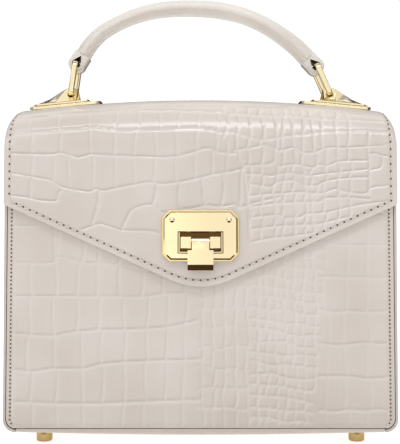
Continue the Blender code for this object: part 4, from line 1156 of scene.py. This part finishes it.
def build_handle():
    """A padded roll of leather with a seam low on each side and a flatter underside."""
    line = handle_line(34)
    tangent = np.gradient(line[:, :2], axis=0)
    tangent /= np.linalg.norm(tangent, axis=1, keepdims=True)
    steps = np.linalg.norm(np.diff(line[:, :2], axis=0), axis=1)
    length = np.concatenate([[0], np.cumsum(steps)])
    to_end = np.minimum(length, length[-1] - length)[:, None]
    turns = 2 * pi * np.arange(HANDLE_SIDES) / HANDLE_SIDES - pi / 2
    radius = (HANDLE_THICKNESS + HANDLE_DEPTH) / 4
    across = (turns - pi / 2) * radius + 0 * to_end
    along = length[:, None] + 0 * across
    rows = generated_rows(0, length[-1] / MM, 7, HANDLE_COLUMNS, wander=0.8, stray=0.8)
    margin = SEAM_TURN + radians(8)
    on_top = (turns > margin) & (turns < pi - margin) & (to_end > 3 * MM)
    groups = ((row_lines(rows), 0.5), (cross_lines(rows), 0.5))
    keep = on_top * fade(to_end, 0, 6 * MM)
    relief, groove_tint_and_painted_light = (values.T for values in emboss(across.T, along.T, groups, keep.T))
    seam = np.minimum(np.abs(turns - SEAM_TURN), np.abs(turns - (pi - SEAM_TURN))) * radius
    below = (turns < SEAM_TURN) | (turns > pi - SEAM_TURN)
    groove = SEAM_DEPTH * np.exp(-((seam / SEAM_WIDTH) ** 2)) + UNDERSIDE_DEPTH * below
    relief = (relief * HANDLE_RELIEF - groove) * fade(to_end, 0, 2 * MM)
    up = (line[:, 2:] / 2 + relief) * np.sin(turns)
    out = (HANDLE_DEPTH / 2 + relief) * np.cos(turns)
    x, z = line[:, :1] - tangent[:, 1:] * up, line[:, 1:2] + tangent[:, :1] * up
    # the handle's weaker groove tint, painted highlight and painted shade
    attributes = {"groove_tint_and_painted_light": (groove_tint_and_painted_light * HANDLE_TINT_AND_LIGHT).ravel(), "edge_paint_and_shade": np.zeros(groove_tint_and_painted_light.size)}
    mesh = tube_mesh("handle_leather", np.stack([x, out + SHIFT, z], -1), False, attributes)
    handle = add_piece(mesh, [handle_croc], "handle_grip")


# Metal pieces


def softened(node, name, surface, width=0.0, segments=3, body="bag"):
    """The CAD shape with a polished surface, and with rounded edges where it has a width."""
    bm = bmesh.new()
    bm.from_mesh(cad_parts[node].data)
    bmesh.ops.remove_doubles(bm, verts=bm.verts, dist=2e-6)
    bmesh.ops.dissolve_limit(bm, angle_limit=radians(1), verts=bm.verts, edges=bm.edges)
    mesh = bpy.data.meshes.new(name)
    bm.to_mesh(mesh)
    bm.free()
    smooth = radians(38 if width else 14)
    piece = add_piece(turned_out(mesh), [surface], node, body, smooth)
    if width:
        round_edges(piece, width, segments)


def round_edges(piece, width, segments=3):
    modifier = piece.modifiers.new("Rounded edges", "BEVEL")
    modifier.width = width
    modifier.segments = segments
    modifier.limit_method = "ANGLE"
    modifier.angle_limit = radians(32)
    modifier.harden_normals = True


LATHE_SIDES = 32


def lathe(name, profile, place, surface, node):
    """A turned shape about local Z: (radius, height) pairs from one end to the other."""
    turns = 2 * pi * np.arange(LATHE_SIDES) / LATHE_SIDES
    rings = [[place @ Vector((r * cos(t), r * sin(t), z)) for t in turns] for r, z in profile]
    add_piece(tube_mesh(name, rings), [surface], node, smooth=radians(50))


def build_feet():
    """Turned feet with a rounded end and a groove below the body."""
    radius = FOOT_DIAMETER / 2
    end = 1.0 * MM
    neck = radius - 0.25 * MM
    for node in ("foot_front_left", "foot_front_right", "foot_back_left", "foot_back_right"):
        low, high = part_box(node)
        profile = [(radius - 1.1 * MM, 0.0), *arc((radius - end, end), end, -pi / 2, 0, 6)]
        groove = ((radius, 1.4), (neck, 1.25), (neck, 1.0), (radius, 0.85), (radius, 0.0))
        profile += [(r, high.z - below * MM) for r, below in groove]
        place = Matrix.Translation(((low.x + high.x) / 2, (low.y + high.y) / 2, 0))
        lathe(node + "_metal", profile, place, foot_gold, node)


def clasp_frame():
    y = -(face_depth(CLASP_HEIGHT) + FLAP_SKIN * cos(LEAN)) + SHIFT
    z = CLASP_HEIGHT + FLAP_SKIN * sin(LEAN)
    return Matrix.Translation((0, y, z)) @ Matrix.Rotation(-LEAN, 4, "X")


def box_part(bm, low, high, material_index=0):
    size = [b - a for a, b in zip(low, high)]
    middle = [(a + b) / 2 for a, b in zip(low, high)]
    place = Matrix.Translation(middle) @ Matrix.Diagonal((*size, 1))
    made = bmesh.ops.create_cube(bm, size=1, matrix=place)
    for face in {f for v in made["verts"] for f in v.link_faces}:
        face.material_index = material_index


def build_rivet(side):
    node = "clasp_rivet_" + side
    low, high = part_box(node)
    middle = (low + high) / 2
    turn = Matrix.Rotation(pi / 2 - LEAN, 4, "X")
    place = Matrix.Translation((middle.x, high.y, middle.z)) @ turn
    dome = arc((0, 0), 1, 0, pi / 2 * 0.97, 8) * (RIVET_DIAMETER / 2, RIVET_RISE)
    lathe(node + "_metal", dome, place, polished, node)


def build_clasp_base():
    """A recess behind, whose dark finish is painted shade, two posts, and a bright ledge round three sides.
    """
    recess = -0.5 * MM
    root = recess + 0.4 * MM  # the bright parts reach this far into the recess
    half_w = WINDOW_WIDTH / 2 - GAP
    half_h = WINDOW_HEIGHT / 2 - GAP
    low_z, high_z = -WINDOW_DROP - half_h, -WINDOW_DROP + half_h
    ledge = 0.8 * MM
    front = -PLATE_FRONT + 0.9 * MM
    bm = bmesh.new()
    # the recess block, whose dark finish is painted shade
    box_part(bm, (-half_w, recess, low_z), (half_w, FLAP_WALL, high_z), 1)
    for sign in SIDES.values():
        a, b = sorted((sign * (half_w - ledge), sign * half_w))
        box_part(bm, (a, front, low_z), (b, root, high_z))
        a, b = sorted((sign * POST_SPACE / 2, sign * (POST_SPACE / 2 + POST_WIDTH)))
        low, high = -POST_DROP - POST_HEIGHT / 2, -POST_DROP + POST_HEIGHT / 2
        box_part(bm, (a, -PLATE_FRONT - POST_PROUD, low), (b, root, high))
    box_part(bm, (-half_w + ledge, front, low_z), (half_w - ledge, root, low_z + ledge))
    bm.transform(clasp_frame())
    mesh = bpy.data.meshes.new("clasp_base_metal")
    bm.to_mesh(mesh)
    bm.free()
    surfaces = [polished, shaded_recess_gold]
    base = add_piece(turned_out(mesh), surfaces, "clasp_base")
    round_edges(base, 0.25 * MM)


def build_clasp():
    softened("clasp_backplate", "clasp_backplate_metal", deep_gold, 0.2 * MM, 2)
    softened("clasp_plate", "clasp_plate_metal", polished, 0.12 * MM, 2)
    softened("clasp_pin", "clasp_pin_metal", deep_gold, 0.1 * MM, 1)
    softened("clasp_tongue", "clasp_tongue_metal", polished, 0.3 * MM, body="tongue")
    for side in SIDES:
        build_rivet(side)
    build_clasp_base()


def build_bridges():
    for side in SIDES:
        softened("bridge_plate_" + side, "bridge_plate_metal_" + side, polished, 0.2 * MM, 2)
        softened("bridge_" + side, "bridge_metal_" + side, polished)


# Stage, light and camera

EYE_HEIGHT = 119 * MM
EYE_SHIFT = 0.27 * MM  # the bag stands half a pixel right of the middle
EYE_DISTANCE = 520 * MM  # from the eye to the widest plane of the front
SCALE = 0.53 * MM  # one pixel of the photograph on that plane
PHOTO_HEIGHT = 444
SENSOR = 36.0
FLOOR_SIZE = 6.0
WHITE = (1, 1, 1, 1)
FLAG = (0.05, 0.025, 0.006)  # what the dark cards reflect
BAG_MIDDLE = (0, 0, 0.11)

# Name, width, height, place, power and whether reflections show it
LIGHTS = (
    ("key", 0.7, 0.7, (-0.65, -0.85, 0.75), 1.8, True),
    ("strip", 0.75, 0.2, (0.06, -0.48, 0.90), 2.2, True),
    ("fill", 0.8, 0.8, (0.9, -0.5, 0.35), 0.4, True),
    ("overhead", 0.6, 0.5, (0.0, 0.05, 1.1), 3.0, False),
    ("rear", 0.8, 0.6, (0.0, 0.9, 0.7), 1.5, False),
)
# Name, width, height, place, target and colour
CARDS = (
    ("front_card", 1.6, 0.9, (0, -1.0, 0.42), (0, 0, 0.12), (1.0, 0.98, 0.95)),
    ("ceiling_card", 1.4, 0.6, (0, 0.36, 0.95), (0, 0, 0.19), (1.0, 0.96, 0.88)),
    ("back_flag", 2.0, 0.34, (0, 0.8, 0.28), (0, 0, 0.2), FLAG),
    ("glint_card", 0.03, 0.5, (-0.045, -0.97, 0.11), BAG_MIDDLE, (1.6, 1.5, 1.35)),
    ("low_flag", 0.30, 0.30, (0, -0.20, 1 * MM), (0, -0.20, 1.0), FLAG),
    ("right_flag", 0.20, 0.26, (0.26, -0.05, 0.13), (0, -0.05, 0.13), FLAG),
    ("upper_flag", 0.16, 0.10, (-0.25, -0.06, 0.34), (0, -0.05, 0.11), FLAG),
)


def aim(made, location, target, axis):
    made.location = location
    made.rotation_euler = (Vector(target) - Vector(location)).to_track_quat(axis, "Y").to_euler()


def flat_piece(name, width, height, surface):
    a, b = width / 2, height / 2
    corners = [(-a, -b, 0), (a, -b, 0), (a, b, 0), (-a, b, 0)]
    made = linked(name, mesh_of(name, corners, [(0, 1, 2, 3)]))
    made.data.materials.append(surface)
    made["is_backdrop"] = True
    return made


def build_cards():
    """Flat panels that only reflections see."""
    for name, width, height, location, target, colour in CARDS:
        values = {"Base Color": (0, 0, 0, 1), "Specular IOR Level": 0.0}
        values.update({"Emission Color": (*colour, 1), "Emission Strength": 1.0})
        card = flat_piece(name, width, height, new_material(name, values)[0])
        aim(card, location, target, "Z")
        card.visible_camera = False
        card.visible_diffuse = False
        card.visible_shadow = False


def build_lights():
    for name, width, height, location, power, glossy in LIGHTS:
        data = bpy.data.lights.new(name, "AREA")
        data.shape = "RECTANGLE"
        data.size = width
        data.size_y = height
        data.energy = power
        light = linked(name, data)
        light.visible_glossy = glossy
        aim(light, location, BAG_MIDDLE, "-Z")


def seen_directly(tree):
    return tree.nodes.new("ShaderNodeLightPath").outputs["Is Camera Ray"]


def build_floor():
    values = {"Base Color": (0.8, 0.8, 0.8, 1), "Roughness": 0.9, "Specular IOR Level": 0.1}
    values["Emission Color"] = WHITE
    paper, tree, shader = new_material("floor_paper", values)
    tree.links.new(ranged(tree, seen_directly(tree), 0.38, 0.72), shader.inputs["Emission Strength"])
    floor = flat_piece("floor", FLOOR_SIZE, FLOOR_SIZE, paper)
    floor.location.z = -0.2 * MM


def build_world():
    """A soft room for the light, and a white ground for the eye."""
    world = bpy.data.worlds.new("studio")
    world.use_nodes = True
    tree = world.node_tree
    room = tree.nodes["Background"]
    ground = tree.nodes.new("ShaderNodeBackground")
    set_inputs(room, {"Color": WHITE, "Strength": 0.42})
    set_inputs(ground, {"Color": WHITE, "Strength": 1.05})
    mix = tree.nodes.new("ShaderNodeMixShader")
    sources = (seen_directly(tree), room.outputs["Background"], ground.outputs["Background"])
    for socket, source in zip(mix.inputs, sources):
        tree.links.new(source, socket)
    tree.links.new(mix.outputs["Shader"], tree.nodes["World Output"].inputs["Surface"])
    bpy.context.scene.world = world
    bpy.context.scene.view_settings.view_transform = "Standard"


def build_camera():
    data = bpy.data.cameras.new("camera")
    data.sensor_fit = "VERTICAL"
    data.sensor_height = SENSOR
    data.lens = SENSOR * EYE_DISTANCE / (PHOTO_HEIGHT * SCALE)
    data.clip_start = 0.02
    camera = linked("camera", data)
    camera.location = (-EYE_SHIFT, SHIFT - BOTTOM_DEPTH / 2 - EYE_DISTANCE, EYE_HEIGHT)
    camera.rotation_euler = (pi / 2, 0, 0)
    bpy.context.scene.camera = camera


build_flap()
build_panel("front_leather", "front_panel", on_panel(1), FRONT_STEP, front_groups())
build_panel("back_leather", "back_panel", on_panel(-1), BACK_STEP, back_groups())
for side_name in SIDES:
    build_gusset(side_name)
    build_ring(side_name)
    build_loop(side_name)
build_bottom()
build_handle()
build_bridges()
build_feet()
build_clasp()
build_floor()
build_world()
build_lights()
build_cards()
build_camera()


def corners(box):
    return [[round(float(x), 6) for x in corner] for corner in box]


{"cad": corners(cad_box), "visual": corners(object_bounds())}
